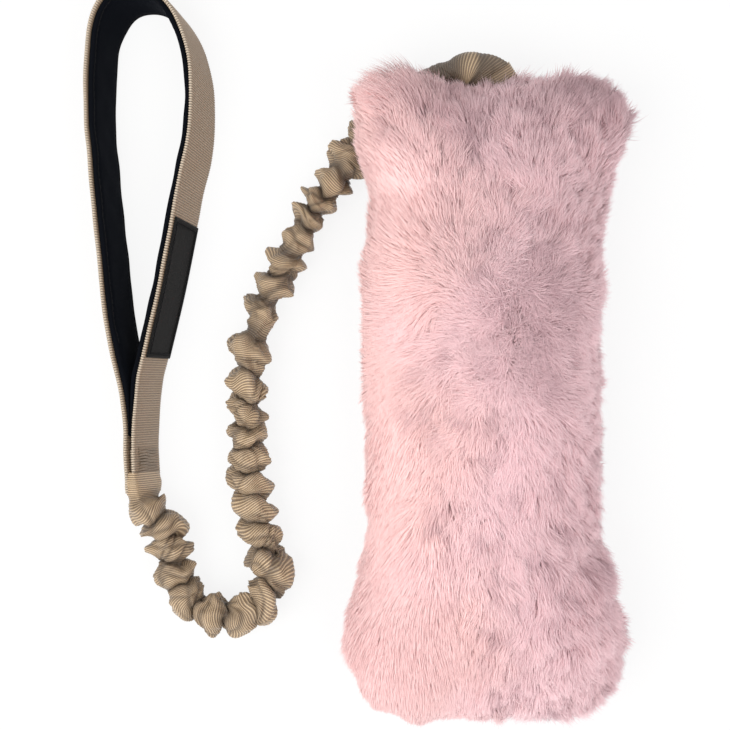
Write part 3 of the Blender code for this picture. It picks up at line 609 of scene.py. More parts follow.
def make_camera():
    data = bpy.data.cameras.new("camera")
    data.lens, data.sensor_width = LENS, SENSOR
    distance = PIXEL * MM * IMAGE * LENS / SENSOR
    x = (CENTRE_PX[0] - ORIGIN_PX[0]) * PIXEL
    y = (ORIGIN_PX[1] - CENTRE_PX[1]) * PIXEL
    camera = placed("camera", data)
    camera.location = Vector(world((x, y, SCALE_HEIGHT))) + Vector((0, 0, distance))
    bpy.context.scene.camera = camera


def make_light(name, place, size, power, colour):
    data = bpy.data.lights.new(name, "AREA")
    data.shape, data.size, data.energy, data.color = "DISK", size, power, colour
    light = placed(name, data)
    light.location = place
    light.rotation_mode = "QUATERNION"
    light.rotation_quaternion = (-Vector(place)).to_track_quat("-Z", "Y")


def seen_directly(tree):
    """1 for the camera, for mirror images and for what shows through glass, otherwise 0."""
    path = add(tree, "LightPath")
    seen = math_node(tree, "MAXIMUM", path.outputs["Is Camera Ray"], path.outputs["Is Glossy Ray"])
    return math_node(tree, "MAXIMUM", seen, path.outputs["Is Transmission Ray"])


def make_world():
    backdrop = bpy.data.worlds.new("studio")
    bpy.context.scene.world = backdrop
    backdrop.use_nodes = True
    tree = backdrop.node_tree
    strength = math_node(tree, "MULTIPLY_ADD", seen_directly(tree), 1.0 - WORLD_LIGHT, WORLD_LIGHT)
    background = tree.nodes["Background"]
    background.inputs["Color"].default_value = (1, 1, 1, 1)
    tree.links.new(strength, background.inputs["Strength"])


def make_floor():
    mesh = bpy.data.meshes.new("floor")
    corners = [(x * FLOOR_HALF, y * FLOOR_HALF, 0) for x, y in ((-1, -1), (1, -1), (1, 1), (-1, 1))]
    mesh.from_pydata(corners, [], [(0, 1, 2, 3)])
    look, tree, shader = new_look("floor", 1.0, specular=0.0)
    shader.inputs["Base Color"].default_value = (FLOOR_TONE, FLOOR_TONE, FLOOR_TONE, 1)
    glow = add(tree, "Emission", {"Color": (1, 1, 1, 1), "Strength": 1.0})
    share = times(tree, seen_directly(tree), FLOOR_GLOW)
    mixed = add(tree, "MixShader", {0: share, 1: shader.outputs[0], 2: glow.outputs[0]})
    tree.links.new(mixed.outputs[0], tree.nodes["Material Output"].inputs["Surface"])
    mesh.materials.append(look)
    floor = placed("floor", mesh)
    floor.location.z = FLOOR_Z


# Bungee strap

def section(s, column):
    return np.interp(s, SECTIONS[:, 0], SECTIONS[:, column])


def softened(values, width):
    """A running mean with a bell's weights, width in millimetres."""
    reach = int(3 * width / STRAP_STEP)
    bell = np.exp(-0.5 * (np.arange(-reach, reach + 1) * STRAP_STEP / width) ** 2)
    return np.convolve(values, bell / bell.sum(), mode="same")


class Gathers:
    """The gathered sleeve's surface, by a distance q along it and a turn round it."""

    def __init__(self):
        self.q = np.arange(-STRAP_BEYOND, STRAP.length + STRAP_BEYOND, STRAP_STEP)
        before = np.arange(GATHERS[0, 0] - WAVES_BEFORE * PLAIN_PITCH, GATHERS[0, 0] - 1, PLAIN_PITCH)
        after = GATHERS[-1, 0] + PLAIN_PITCH * np.arange(1, WAVES_AFTER + 1)
        self.turns, self.reach = [], []
        for column in (0, 1):
            crests = GATHERS[:, column]
            places = np.concatenate((before, crests, after))
            turn = np.interp(self.q, places, 2 * np.pi * np.arange(len(places)))
            self.turns.append(softened(turn, SOFT_TURN))
            self.reach.append(softened(np.interp(self.q, crests, GATHERS[:, column + 2]), SOFT_REACH))
        growth = (np.gradient(turn, STRAP_STEP) for turn in self.turns)
        self.pitch = [2 * np.pi / np.maximum(per_mm, LEAST_TURN) for per_mm in growth]

    def surface(self, q, turn):
        """Points at distances q (rows) and turns (columns), and the painted light and shade of each one."""
        q, turn = q[:, None], turn[None, :]
        cos, sin = np.cos(turn), np.sin(turn)
        outer = (1 - cos) / 2

        def read(pair):
            return (1 - outer) * np.interp(q, self.q, pair[0]) + outer * np.interp(q, self.q, pair[1])

        def cloth(kind, along=q):
            size, across, above, *noise = CLOTH_NOISE[kind]
            return size * waves((along, across * cos, above * sin), noise)

        phase, pitch, reach = read(self.turns), read(self.pitch), read(self.reach)
        wide, high, depth = section(q, 1), section(q, 2), section(q, 3)
        gathered = rise(q, *GATHERED) * smooth((STRAP_END - q) / GATHERED_END)
        stands = wide * (1 - gathered) + reach * gathered
        slim = rise(q, *SLIM_FROM) * (1 - rise(q, *SLIM_TO))
        deep = VALLEY_RADIUS + cloth("valley") - SLIM_VALLEY * slim
        valley = deep * gathered + wide * PLAIN_VALLEY * (1 - gathered)
        crest = (1 + np.cos(phase)) / 2
        sides = cos ** 2
        sunk = sides * (1 - crest ** (VALLEY_POWER + SLIM_POWER * slim))
        sunk = sunk + TOP_VALLEY * (1 - sides) * (1 - crest) ** 2
        radius = stands - (stands - valley) * depth * sunk
        pleats = np.clip(1 - abs(cloth("pleats")), 0, 1) - PLEATS_MEAN
        radius = radius + depth * (cloth("crumple") + PLEATS * pleats)

        slanted = FOLD_STRETCH * (q - SLANT * cos)
        crease = hill(cloth("fold", slanted), 0, CREASE_WIDTH) * smooth(FOLD_SHARE + cloth("strong", slanted))
        tuck = hill(q - TUCK_AT - TUCK_SLANT * cos, 0, TUCK_WIDTH)
        wander = cloth("wander")
        past = phase - GROOVE_PAST + GROOVE_WANDER * wander + GROOVE_SLANT * cos
        past = np.remainder(past + np.pi, 2 * np.pi) - np.pi
        groove = hill(past, 0, GROOVE_WIDTH) * smooth(GROOVE_WANDER + wander) * gathered
        crease = np.maximum(np.maximum(crease, GROOVE_SHARE * groove), tuck)
        radius = radius - (CREASE_PLAIN + depth) / (CREASE_PLAIN + 1) * CREASE_DEPTH * crease
        radius = radius * (1 - SQUARENESS * depth * np.sin(2 * turn) ** 2)
        radius = np.clip(radius, THINNEST * depth, WIDEST)

        lean = depth * OVERHANG * (1 - SLIM_LEAN * slim) * pitch / (2 * np.pi) * np.sin(phase)
        slip = depth * cloth("slip") + depth * cloth("long slip")
        place, _, side, up = STRAP.frame(q + lean + slip)
        place = place + side * (rise(q, *ROOT_SHIFT) * (1 - rise(q, *ROOT_SHIFT_END)))[..., None]
        roll = rise(q + 0 * turn, *CUFF_LEAN)[..., None]
        side, up = side * np.cos(roll) + up * np.sin(roll), up * np.cos(roll) - side * np.sin(roll)
        reel = REEL * depth * waves((q, 0 * turn), REEL_NOISE) * (1 - rise(q, *REEL_END))
        square = 1 - rise(q, *NECK_SQUARE)
        across, above = (np.sign(f) * abs(f) ** square for f in (np.cos(turn + reel), np.sin(turn + reel)))
        points = place + side * (radius * across)[..., None] + up * (radius * high / wide * above)[..., None]

        # Painted highlight on the crests and painted shade in the creases
        painted_shading = (crest ** CREST_POWER * depth + (1 - depth)) * (1 - CREASE_PAINTED_SHADE * crease)
        # Painted shade at the root, fading along the strap, with a painted highlight on the root's fold
        bright = ROOT_FOLD * hill(q, ROOT_FOLD_AT, ROOT_FOLD_WIDTH)
        bright = bright + ROOT_START_BRIGHT * (1 - rise(q, *ROOT_START)) + rise(q, *ROOT_SHADE_FADE)
        bright = np.clip(LEAST_BRIGHT + (1 - LEAST_BRIGHT) * bright, 0, 1)
        return points, painted_shading * (1 - TUCK_PAINTED_SHADE * tuck) * bright

    def rows(self):
        """Distances at which the cloth's own length grows by one row, and the height of its rib at each."""
        q = np.arange(0.0, STRAP.length, STRAP_STEP)
        line, _ = self.surface(q, RIB_LINES)
        cloth = running(np.linalg.norm(np.diff(line, axis=0), axis=-1).mean(1))
        marks = np.arange(0.0, cloth[-1], RIB_PITCH / ROWS_A_RIB)
        return np.interp(marks, cloth, q), rib_profile(len(marks))


def rib_profile(count):
    """Heights over rows of ribs, each with its groove at 0 and its crest in the middle."""
    return np.sin(np.pi * ((np.arange(count) % ROWS_A_RIB) / ROWS_A_RIB)) ** 2


def strap_pieces():
    gathers = Gathers()
    q, ribs = gathers.rows()
    # lifted carries the cloth's painted highlight and painted shade into its colour
    grid, lifted = gathers.surface(q, turns_round(SLEEVE_SIDES))
    grid = grid + unit(grid - STRAP.at(q)[:, None]) * (RIB_HEIGHT * (ribs - 0.5))[:, None, None]
    grid = kept_above(grid, GAP + SLEEVE_FLOOR)
    elastic = mottled_look("elastic_cord", (0.55, 0.52, 0.47), (0.80, 0.77, 0.71), (400.0,), roughness=0.7)
    stops = (*(stretch[3] for stretch in STRETCHES), STRAP.length - 1.0)
    core_end = STRAP_END - GAP - CORE_END_MARGIN
    sleeves, cores = {}, {}
    for (name, bodies, turns_inside, low), high in zip(STRETCHES, stops[1:]):
        first = int(np.searchsorted(q, low))
        last = min(len(q) - 1, int(np.searchsorted(q, high)))
        rows = slice(first, last + 1)
        look = webbing_look("webbing_sleeve_" + name, 130.0, (last - first) / ROWS_A_RIB * 2, gathered=True)
        sleeve = grid_piece("sleeve_" + name + "_cloth", "sleeve_" + name, grid[rows], look, "webbing",
                            layers={"rib": ribs[rows, None], "lifted": lifted[rows]})
        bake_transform(sleeve)
        sleeves[name] = sleeve
        if name == "neck":
            continue
        place, ahead, _, _ = STRAP.frame(np.arange(max(low, CORE_START), min(high, core_end) + 0.01, 1.0))
        core = grid_piece("core_" + name + "_cord", "core_" + name,
                          tube_rows(place, ahead, CORE_RADIUS, CORE_SIDES), elastic, "elastic")
        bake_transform(core)
        cores[name] = core


# Handle

def lean_at(y):
    sideways = rise(y, *LEAN_Y)
    upward = np.sqrt(WEBBING_WIDTH ** 2 - LEAN_X ** 2 - sideways ** 2)
    return np.stack((np.full_like(sideways, LEAN_X), sideways, upward), -1)


def strip_point(s, offset, share):
    """Points of the handle strip: offset inwards from the webbing's inner face, share up its width."""
    s, offset, share = np.broadcast_arrays(s, offset, share)
    place, _, side, _ = HANDLE.frame(s, STRIP_REACH)
    return place - side * offset[..., None] + lean_at(place[..., 1]) * share[..., None]


def distance_at_y(y, right=True):
    """Distance along the right limb, or back along the left one, at which the strip reaches y."""
    steps = np.arange(0, HANDLE.length, 0.5)
    if not right:
        steps = HANDLE.length - steps
    return float(steps[np.argmax(HANDLE.at(steps)[:, 1] >= y)])


def rounded_section(width, across=14, round_parts=6):
    """Round a flat strip: place over its width from 0 to 1, side from -1 (outer) to 1, and 1 on its edges."""
    face = np.linspace(0, 1, across)
    turn = np.pi * np.arange(1, round_parts) / round_parts
    rim = 0.5 * width
    share = np.concatenate((face, 1 + rim * np.sin(turn), face[::-1], -rim * np.sin(turn)))
    side = np.concatenate((-np.ones(across), -np.cos(turn), np.ones(across), np.cos(turn)))
    edge = np.concatenate((np.zeros(across), np.sin(turn), np.zeros(across), np.sin(turn)))
    return share, side, edge


def ribbed_strip(name, node, point_at, start, end, near, far, width, look):
    """Webbing with ribs across it. point_at takes a distance, an offset and a share of the width."""
    s = np.arange(start, end, WEBBING_PITCH / ROWS_A_RIB)[:, None]
    ribs = rib_profile(len(s))[:, None]
    half = abs(far - near) / 2
    room = half / width
    share, side, edge = rounded_section(2 * room)
    share = room + share * (1 - 2 * room)
    sag = WEBBING_SAG * waves((s, NOISE_ACROSS * share), SAG_NOISE)
    offset = (near + far) / 2 + side * (half + WEBBING_RIB * (ribs - 1)) + sag
    share = 0.5 + (share - 0.5) * (1 + RIM_SWELL * edge * (ribs - RIM_MEAN))
    grid = kept_above(point_at(s, offset, share), STRIP_FLOOR)
    return grid_piece(name, node, grid, look, "webbing", layers={"rib": ribs, "edge": edge})


def soft_strip(name, node, start, end, near, far, look, slot, step=STRIP_STEP, across=30):
    """A padded or woven strip along the handle; far is a function of the distance and the share."""
    s = np.arange(start, end + step / 2, step)[:, None]
    share, side, _ = rounded_section(SOFT_RIM, across, 8)
    share = SOFT_RIM / 2 + share * (1 - SOFT_RIM)
    offset = near + (far(s, share) - near) * (1 + side) / 2
    points = strip_point(s, offset, LINING_EDGE + (1 - 2 * LINING_EDGE) * share)
    return grid_piece(name, node, kept_above(points, GAP), look, slot)


def stitched(s, offset, share, length, sink):
    """A row of stitches: the thread dips into the cloth between them."""
    wave = np.cos(2 * np.pi * s / length)
    lift = np.where(wave > -0.5, 0.0, -(np.abs(wave) - 0.5) / 0.5 * sink)
    return strip_point(s, offset + lift, share)


def padding(s, share):
    """How far the lining stands in from the webbing."""
    y = HANDLE.at(s)[..., 1]
    depth = GAP + LINING_THINNEST + rise(y, LINING_END, LINING_TAPER, LINING - LINING_THINNEST)
    channels = sum(hill(share, at, CHANNEL_WIDTH) for at in CHANNELS)
    crown = 1 - (2 * share - 1) ** 4 * CROWN_LOSS
    lumps = waves((s, NOISE_ACROSS * share), LUMP_NOISE)
    return GAP + PADDING_FULL * (depth - GAP) * (crown - CHANNEL_DEPTH * channels + LUMPS * lumps)


def zigzag(turns):
    """Shares of the way along and across a row of zigzag stitches."""
    t = np.linspace(0, 1, turns * STEPS_A_TURN + 1)
    return t, np.abs((t * turns) % 2 - 1)


def handle_pieces():
    webbing = webbing_look("webbing_handle", 40.0, 620.0)
    made = [ribbed_strip("handle_webbing_strip", "handle_webbing", strip_point, 0.0, HANDLE.length,
                         0.0, -WEBBING, WEBBING_WIDTH, webbing)]
    start, end = distance_at_y(LINING_END), distance_at_y(LINING_END, right=False)
    lining = soft_strip("handle_lining_padding", "handle_lining", start, end, GAP, padding,
                        lining_look(), "lining")
    low, high = distance_at_y(LABEL_FROM_Y), distance_at_y(LABEL_TO_Y)
    face = -WEBBING - GAP

    def patch(s, share):
        from_side = np.minimum(share, 1 - share) / BORDER_SHARE
        rim = np.minimum(np.minimum(s - low, high - s) / BORDER_MM, from_side)
        return face - LABEL * (LABEL_PLAIN + (1 - LABEL_PLAIN) * hill(rim, RIDGE_AT, RIDGE_WIDTH))

    label = soft_strip("handle_label_patch", "handle_label", low, high, face, patch,
                       label_look(), "label", LABEL_STEP, LABEL_ROWS)
    black = thread_look("black_stitching", (0.0015, 0.0015, 0.002), (0.010, 0.010, 0.012), 0.1, 0.0)
    taupe = thread_look("taupe_stitching", (0.17, 0.122, 0.080), (0.42, 0.325, 0.235))
    s = np.arange(low + BORDER_INSET, high - BORDER_INSET, STITCH_STEP)
    out = face - LABEL - GAP * 0.2
    lines = zip((s, s[::-1]), BORDER_LINES)
    loop = np.vstack([stitched(along, out, share, *BORDER_STITCH) for along, share in lines])
    border = thread_piece("label_border_stitching", "label_stitching", loop, LABEL_THREAD, black,
                          "black_thread", closed=True)
    made += [lining, label, border]
    s = np.arange(distance_at_y(SEAMS_FROM_Y), distance_at_y(SEAMS_FROM_Y, right=False), STITCH_STEP)
    for name, share in zip(("lower", "upper"), LINING_LINES):
        depth = padding(s, np.full_like(s, (share - LINING_EDGE) / (1 - 2 * LINING_EDGE))) + STITCH_PROUD
        made.append(thread_piece("lining_seam_" + name, "lining_stitch_" + name,
                                 stitched(s, depth, share, *STITCH), LINING_THREAD, black, "black_thread"))
    neck_top = distance_at_y(NECK_TAB_TOP_Y)
    t, zig = zigzag(NECK_TURNS)
    for name, ends in (("right", (NECK_TACK_FROM, neck_top)), ("left", (-NECK_TACK_FROM, -neck_top))):
        first, last = (end % HANDLE.length for end in ends)
        points = strip_point(first + (last - first) * t, -WEBBING - STITCH_PROUD, TACK_LOW + TACK_SPAN * zig)
        made.append(thread_piece("neck_tack_" + name, "neck_bartack_" + name, points,
                                 NECK_THREAD, taupe, "thread"))

    def between(s, offset, share):
        right, left = strip_point(s, 0.0, 0.0), strip_point(HANDLE.length - s, 0.0, 0.0)
        middle, apart = (right + left) / 2, unit(right - left)
        up = (NECK_TAB_LOW + NECK_TAB_SHARE * share)[..., None]
        return middle + apart * offset[..., None] + lean_at(middle[..., 1]) * up

    made.append(ribbed_strip("handle_inner_tab", "handle_tab", between, 1.0, neck_top,
                             -NECK_TAB / 2, NECK_TAB / 2, WEBBING_WIDTH * NECK_TAB_SHARE, webbing))
    for piece in made:
        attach(piece, "handle")


# Pillow

def flare(v):
    start = np.where(v > 0, FLARE_TOP[0], FLARE_BOTTOM[0])
    end = np.where(v > 0, FLARE_TOP[1], FLARE_BOTTOM[1])
    return rise(np.abs(v), start, end - start, FLARE)


def middle_x(v):
    return BODY_X + rise(v, *TOP_DRIFT)


def body_outline(across=70, along=140):
    """The seam line from above, clockwise from the middle of the top end."""
    half = across // 2
    top = np.stack((np.arange(half) / half, np.ones(half)), -1)
    side = np.stack((np.ones(along), 1 - 2 * np.arange(along) / along), -1)
    bottom = np.stack((1 - np.arange(half) / half, -np.ones(half)), -1)
    square = np.vstack((top, side, bottom))
    square = np.vstack((square, -square))
    low, high = np.full(len(square), 0.5), np.ones(len(square))
    for _ in range(30):
        mid = (low + high) / 2
        within = (mid * abs(square[:, 0])) ** SIDE_POWER + (mid * abs(square[:, 1])) ** END_POWER < 1
        low, high = np.where(within, mid, low), np.where(within, high, mid)
    u, v = square[:, 0] * low, square[:, 1] * low
    ear = EAR * abs(u) ** 4 * np.maximum(0.0, square[:, 1]) ** 8
    x = middle_x(v) + (HALF_WAIST + flare(v)) * u
    return np.stack((x, BODY_Y + HALF_LENGTH * v + ear), -1)


def to_spine(outline):
    """From each point of the outline to the middle line inside it."""
    y = np.clip(outline[:, 1], BODY_Y - SPINE, BODY_Y + SPINE)
    return np.stack((middle_x((y - BODY_Y) / HALF_LENGTH), y), -1) - outline


def dome(outline, inset, base, shares, side):
    """Rings from the seam to the crown; side is 1 above the seam and -1 below."""
    inward = to_spine(outline)
    start = outline + unit(inward) * inset
    share = np.asarray(shares)[:, None, None]
    flat = start + (outline + inward - start) * share
    rises = base + (HALF_THICKNESS - inset - base) * np.sqrt(1 - (1 - share) ** DOME_POWER)
    z = np.broadcast_to(SEAM_Z + side * rises, (*flat.shape[:2], 1))
    return np.concatenate((flat, z), -1)


def lifted(points):
    """Where the strap below pushes points of the body."""
    across, along = points[..., 0] - STRAP_LINE_POINT[0], points[..., 1] - STRAP_LINE_POINT[1]
    inward = across * STRAP_LINE_INWARD[0] + along * STRAP_LINE_INWARD[1]
    lift = LIFT * (1 - rise(inward, LIFT_FROM, LIFT_OVER))
    lift = lift * (1 - rise(points[..., 0], LIFT_END_X, LIFT_END_OVER))
    share = np.clip(points[..., 2] / (2 * SEAM_Z), 0, 1)
    moved = points.copy()
    moved[..., 2] += lift * (1 - LIFT_LOSS * share)
    return moved


def half_pillow(inset, side, floor):
    """One half of the pillow as a grid of rings, from the seam to the crown."""
    shares = (np.arange(RINGS + 1) / RINGS) ** RING_POWER
    return kept_above(lifted(dome(body_outline(), inset, SEAM_RISE, shares, side)), floor)


def plumped(back, front):
    """Both halves of the backing, swollen by a short cloth simulation that holds the seam."""
    cage = placed("plump_cage", grid_mesh("plump_cage", np.concatenate((back[::-1], front[1:])), caps=False))
    remesh = cage.modifiers.new("remesh", "REMESH")
    remesh.mode, remesh.voxel_size = "VOXEL", VOXEL * MM
    graph = bpy.context.evaluated_depsgraph_get()
    cage.data = bpy.data.meshes.new_from_object(cage.evaluated_get(graph))
    cage.modifiers.clear()
    before = read_points(cage.data)
    near_seam = abs(before[:, 2] - world((0, 0, SEAM_Z))[2]) < HELD_NEAR_SEAM * MM
    held = cage.vertex_groups.new(name="held")
    held.add([int(k) for k in np.flatnonzero(near_seam)], HELD_WEIGHT, "REPLACE")
    settings = cage.modifiers.new("cloth", "CLOTH").settings
    settings.vertex_group_mass = "held"
    for key, value in CLOTH.items():
        setattr(settings, key, value)
    settings.effector_weights.gravity = 0.0
    scene = bpy.context.scene
    for step in range(1, CLOTH_STEPS + 1):
        scene.frame_set(step)
    graph = bpy.context.evaluated_depsgraph_get()
    moved = read_points(cage.evaluated_get(graph).data) - before
    scene.frame_set(1)
    bpy.data.objects.remove(cage, do_unlink=True)
    far = np.linalg.norm(moved, axis=1, keepdims=True)
    moved *= np.minimum(1.0, SWELL_CAP * MM / np.maximum(far, 1e-9))
    tree = KDTree(len(before))
    for k, place in enumerate(before):
        tree.insert(place, k)
    tree.balance()
    swollen = []
    for grid in (back, front):
        flat = world(grid.reshape(-1, 3))
        shift = np.zeros_like(flat)
        for k, place in enumerate(flat):
            near = tree.find_n(place, 4)
            weights = np.array([1.0 / (d + 1 * MM) for _, _, d in near])
            shift[k] = weights @ moved[[i for _, i, _ in near]] / weights.sum()
        swollen.append(kept_above(grid + (shift / MM).reshape(grid.shape), SKIN_FLOOR))
    swollen[1][0] = swollen[0][0] = (swollen[0][0] + swollen[1][0]) / 2
    print("backing moved on average", round(float(np.linalg.norm(moved, axis=1).mean() / MM), 2), "mm")
    return swollen


def read_points(mesh):
    points = np.empty(3 * len(mesh.vertices), np.float32)
    mesh.vertices.foreach_get("co", points)
    return points.reshape(-1, 3).astype(float)


def scattered(grid, count, rng):
    """Places by area on a closed-round grid, with the surface's outward direction at each."""
    a, b = grid[:-1], np.roll(grid, -1, 1)[:-1]
    c, d = np.roll(grid, -1, 1)[1:], grid[1:]
    across = np.cross(c - a, d - b)
    area = np.linalg.norm(across, axis=-1)
    normal = unit(across)
    middle = grid.reshape(-1, 3).mean(0)
    centre = (a + b + c + d) / 4
    if (normal * (centre - middle) * area[..., None]).sum() < 0:
        normal = -normal
    chosen = rng.choice(area.size, count, p=(area / area.sum()).ravel())
    s, t = rng.random((2, count, 1))
    a, b, c, d, normal = (m.reshape(-1, 3)[chosen] for m in (a, b, c, d, normal))
    return a * (1 - s) * (1 - t) + b * s * (1 - t) + c * s * t + d * (1 - s) * t, normal


def fur_noise(p, kind, *seed):
    return waves(p.T, (*FUR_NOISE[kind], *seed))


def spot(p, x, wide, y, tall):
    return np.exp(-((p[:, 0] - x) / wide) ** 2 - ((p[:, 1] - y) / tall) ** 2)


def calm(p):
    """1 on the smooth left side of the front, falling to 0 towards the swirls."""
    edge = CALM_X + rise(-p[:, 1], *CALM_LOW) - rise(p[:, 1], *CALM_HIGH)
    return 1 - rise(p[:, 0] + CALM_WANDER * fur_noise(p, "calm") - edge, *CALM_FADE)


def groom(p, normal, still, rng):
    """The direction that the pile lies in, away from a line with swirls, and how far it stands up there."""
    line_x = PARTING[0] + PARTING_SWAY * np.sin(p[:, 1] / PARTING_TURN)
    away = p[:, :2] - np.stack((line_x, np.clip(p[:, 1], *PARTING[1:])), -1)
    near = np.exp(-(away ** 2).sum(1) / PARTING_REACH ** 2 * 2)
    angle = np.arctan2(away[:, 1], away[:, 0]) + near * rng.normal(size=len(p)) * SCATTER
    for (size, more, lost), kind in ((BROAD_TURN, "broad turn"), (FINE_TURN, "fine turn")):
        angle = angle + (size + more * near) * (1 - lost * still) * fur_noise(p, kind)
    lie = np.stack((np.cos(angle), np.sin(angle), np.zeros(len(p))), -1)
    lie[:, 2] -= (DOWNWARD + DOWNWARD_CALM * still) * smooth((0.8 - np.abs(normal[:, 2])) / 0.6)
    lie -= normal * (lie * normal).sum(-1, keepdims=True)
    stand = STAND_NOISE * fur_noise(p, "stand") + STAND_PARTING * near * (normal[:, 2] > 0)
    down = LIES_ON_TOP * rise(normal[:, 2], 0.3, 0.5) + LIES_ON_LEFT * rise(-normal[:, 0], 0.3, 0.4)
    return unit(lie), np.clip(stand * (1 - STAND_CALM_LOSS * still) - still * down, *STAND_LIMITS)[:, None]


def tufts(p):
    """The middle of each root's tuft, and two values from 0 to 1 that the whole tuft shares."""
    bent = p + TUFT_WARP * np.stack([fur_noise(p, "tuft", seed) for seed in TUFT_SEEDS], -1)
    cell = np.floor(bent / TUFT)
    which = np.unique(cell, axis=0, return_inverse=True)[1].ravel()
    count = np.bincount(which)
    middle = np.stack([np.bincount(which, p[:, k]) / count for k in range(3)], -1)[which]
    first = np.sin(cell @ (12.9898, 78.233, 37.719)) * 4375.85
    second = np.sin(cell @ (39.346, 11.135, 83.155)) * 2463.46
    return middle, first - np.floor(first), second - np.floor(second)


def pile_length(p, rng):
    """Longer at the top left corner, shorter down the right side and where the strap comes out."""
    x, y = p[:, 0], p[:, 1]
    length = FUR_LENGTH * rng.uniform(*LENGTH_RANGE, len(p))
    length *= 1 + LENGTH_NOISE * fur_noise(p, "length")
    length *= 1 + rise(y, *LONG_TOP)
    length *= 1 + hill(x, *LONG_CORNER_X) * rise(y, *LONG_CORNER)
    length *= 1 - rise(x, *SHORT_RIGHT) * smooth((RIGHT_END - abs(y - RIGHT_MIDDLE)) / RIGHT_FADE)
    length *= 1 - (SHORT_LOW + rise(abs(x - BODY_X), *SHORT_LOW_SIDES)) * rise(-y, *SHORT_BOTTOM)
    at_strap = np.exp(-((x - AT_STRAP_X) / AT_STRAP_WIDTH) ** 4) * rise(y, *AT_STRAP)
    return (length * (1 - AT_STRAP_SHORTER * at_strap))[:, None]


def lock_waves():
    """Waves that gather the pile into locks: their directions and their turns."""
    rng = np.random.default_rng(LOCK_SEED)
    return rng.normal(size=(LOCKS, 3)) * LOCK_BAND, rng.uniform(0, 2 * np.pi, LOCKS)


def strands(roots, normals, still, tuft, rng):
    """The four levels of each strand, and its own small disorder."""
    middle, turned, reach = tuft
    quiet = still[:, None]
    lie, stand = groom(roots, normals, still, rng)
    sway = (TUFT_SWAY * (turned - 0.5))[:, None] * (1 - 0.85 * quiet)
    lie = unit(lie + np.cross(normals, lie) * sway)
    resting = smooth((RESTING[0] - roots[:, 2:]) / RESTING[1]) * (normals[:, 2:] < 0)
    length = pile_length(roots, rng) * (1 + TUFT_REACH * (reach[:, None] - 0.5) * (1 - 0.6 * quiet))
    rough = rng.normal(size=roots.shape) * (ROUGH - ROUGH_CALM * quiet)
    levels = [roots]
    for up, part in STRAND_PARTS:
        up = np.clip(up + np.where(stand > 0, (1 - up) * stand, up * stand), 0, 1)
        up = up * (1 - RESTING[2] * resting)
        levels.append(levels[-1] + unit(normals * up + lie * (1 - up) + rough) * length * part)
    pull = sum(k * np.cos(roots @ k + t)[:, None] for k, t in zip(*lock_waves()))
    pull -= normals * (pull * normals).sum(-1, keepdims=True)
    for k, share in enumerate(CLUMP_SHARES, 1):
        levels[k] = levels[k] + pull * FUR_CLUMP * share * (1 - quiet)
        levels[k] = levels[k] - (roots - middle) * TUFT_PULL * share * (1 - 0.9 * quiet)
        height = levels[k][:, 2]
        height -= 0.5 * np.maximum(height - FUR_SINKS, 0.0)
        levels[k][:, 2] = np.maximum(height, 0.25 + 0.3 * rng.random(len(roots)))
    return levels, rough


def ribbons(levels, normals, quiet, rng):
    """The seven points of each strand, two for each level and one for its tip."""
    count = len(normals)
    along = levels[2] - levels[0]
    side = unit(np.cross(along, normals) + 1e-6)
    twist = rng.uniform(-0.5, 0.5, (count, 1)) * (1 - 0.8 * quiet)
    side = side * np.cos(twist) + np.cross(unit(along), side) * np.sin(twist)
    wide = side * (rng.uniform(0.7, 1.3, (count, 1)) * FUR_WIDTH / 2 * (1 + 1.1 * quiet))
    pairs = zip(levels, (wide, wide, wide * TIP_NARROWER))
    points = [point for level, half in pairs for point in (level - half, level + half)]
    return np.stack((*points, levels[3]), 1)


def pile_colour(p, still, tuft, rng):
    """Each strand's tint, from warm to mauve, and its shade, from light to dark."""
    x, y = p[:, 0], p[:, 1]
    # The tint is partly painted light: warm where lit on the left, mauve where shaded on the right
    tint = rise(x + TINT_WANDER * fur_noise(p, "tint") - rise(-y, *TINT_LOW), *TINT)
    locks = sum(np.sin(p @ k + t) for k, t in zip(*lock_waves())) / math.sqrt(LOCKS)
    _, turned, reach = tuft
    causes = (
        (0.26, np.maximum(fur_noise(p, "dark spots") - 0.55, 0)),
        (-0.20, np.maximum(fur_noise(p, "light spots") - 0.35, 0)),
        (0.25, np.maximum(fur_noise(p, "patches") - 0.3, 0)),
        (0.10, fur_noise(p, "broad")),
        (0.21, spot(p, *SWIRL)),
        # Painted light on the locks' crests and painted shade between them
        (-0.05, locks),
        (-0.25, (reach - 0.5) + 0.6 * (turned - 0.5)),
        # Painted light on the right side, where the pile slopes away
        (-0.22, spot(p, *RIGHT_PAINTED_LIGHT)),
        (-0.15, spot(p, *UPPER_SPOT)),
    )
    ruffled = sum((weight * value for weight, value in causes), SHADE_RUFFLED)
    shade = SHADE + SHADE_CALM * still + (1 - still) * ruffled
    shade = shade + (SHADE_LOW - rise(x, *SHADE_LOW_RIGHT)) * rise(-y, *LOW)
    top_edge = rise(y, *TOP) * (1 - 0.5 * still)
    shade = shade + (SHADE_TOP + rise(x, *SHADE_TOP_MIDDLE) + rise(x, *SHADE_TOP_RIGHT)) * top_edge
    shade = shade + rng.normal(size=len(p)) * (SHADE_GRAIN - SHADE_GRAIN_CALM * still)
    return tint, np.clip(shade, 0, SHADE_MOST)


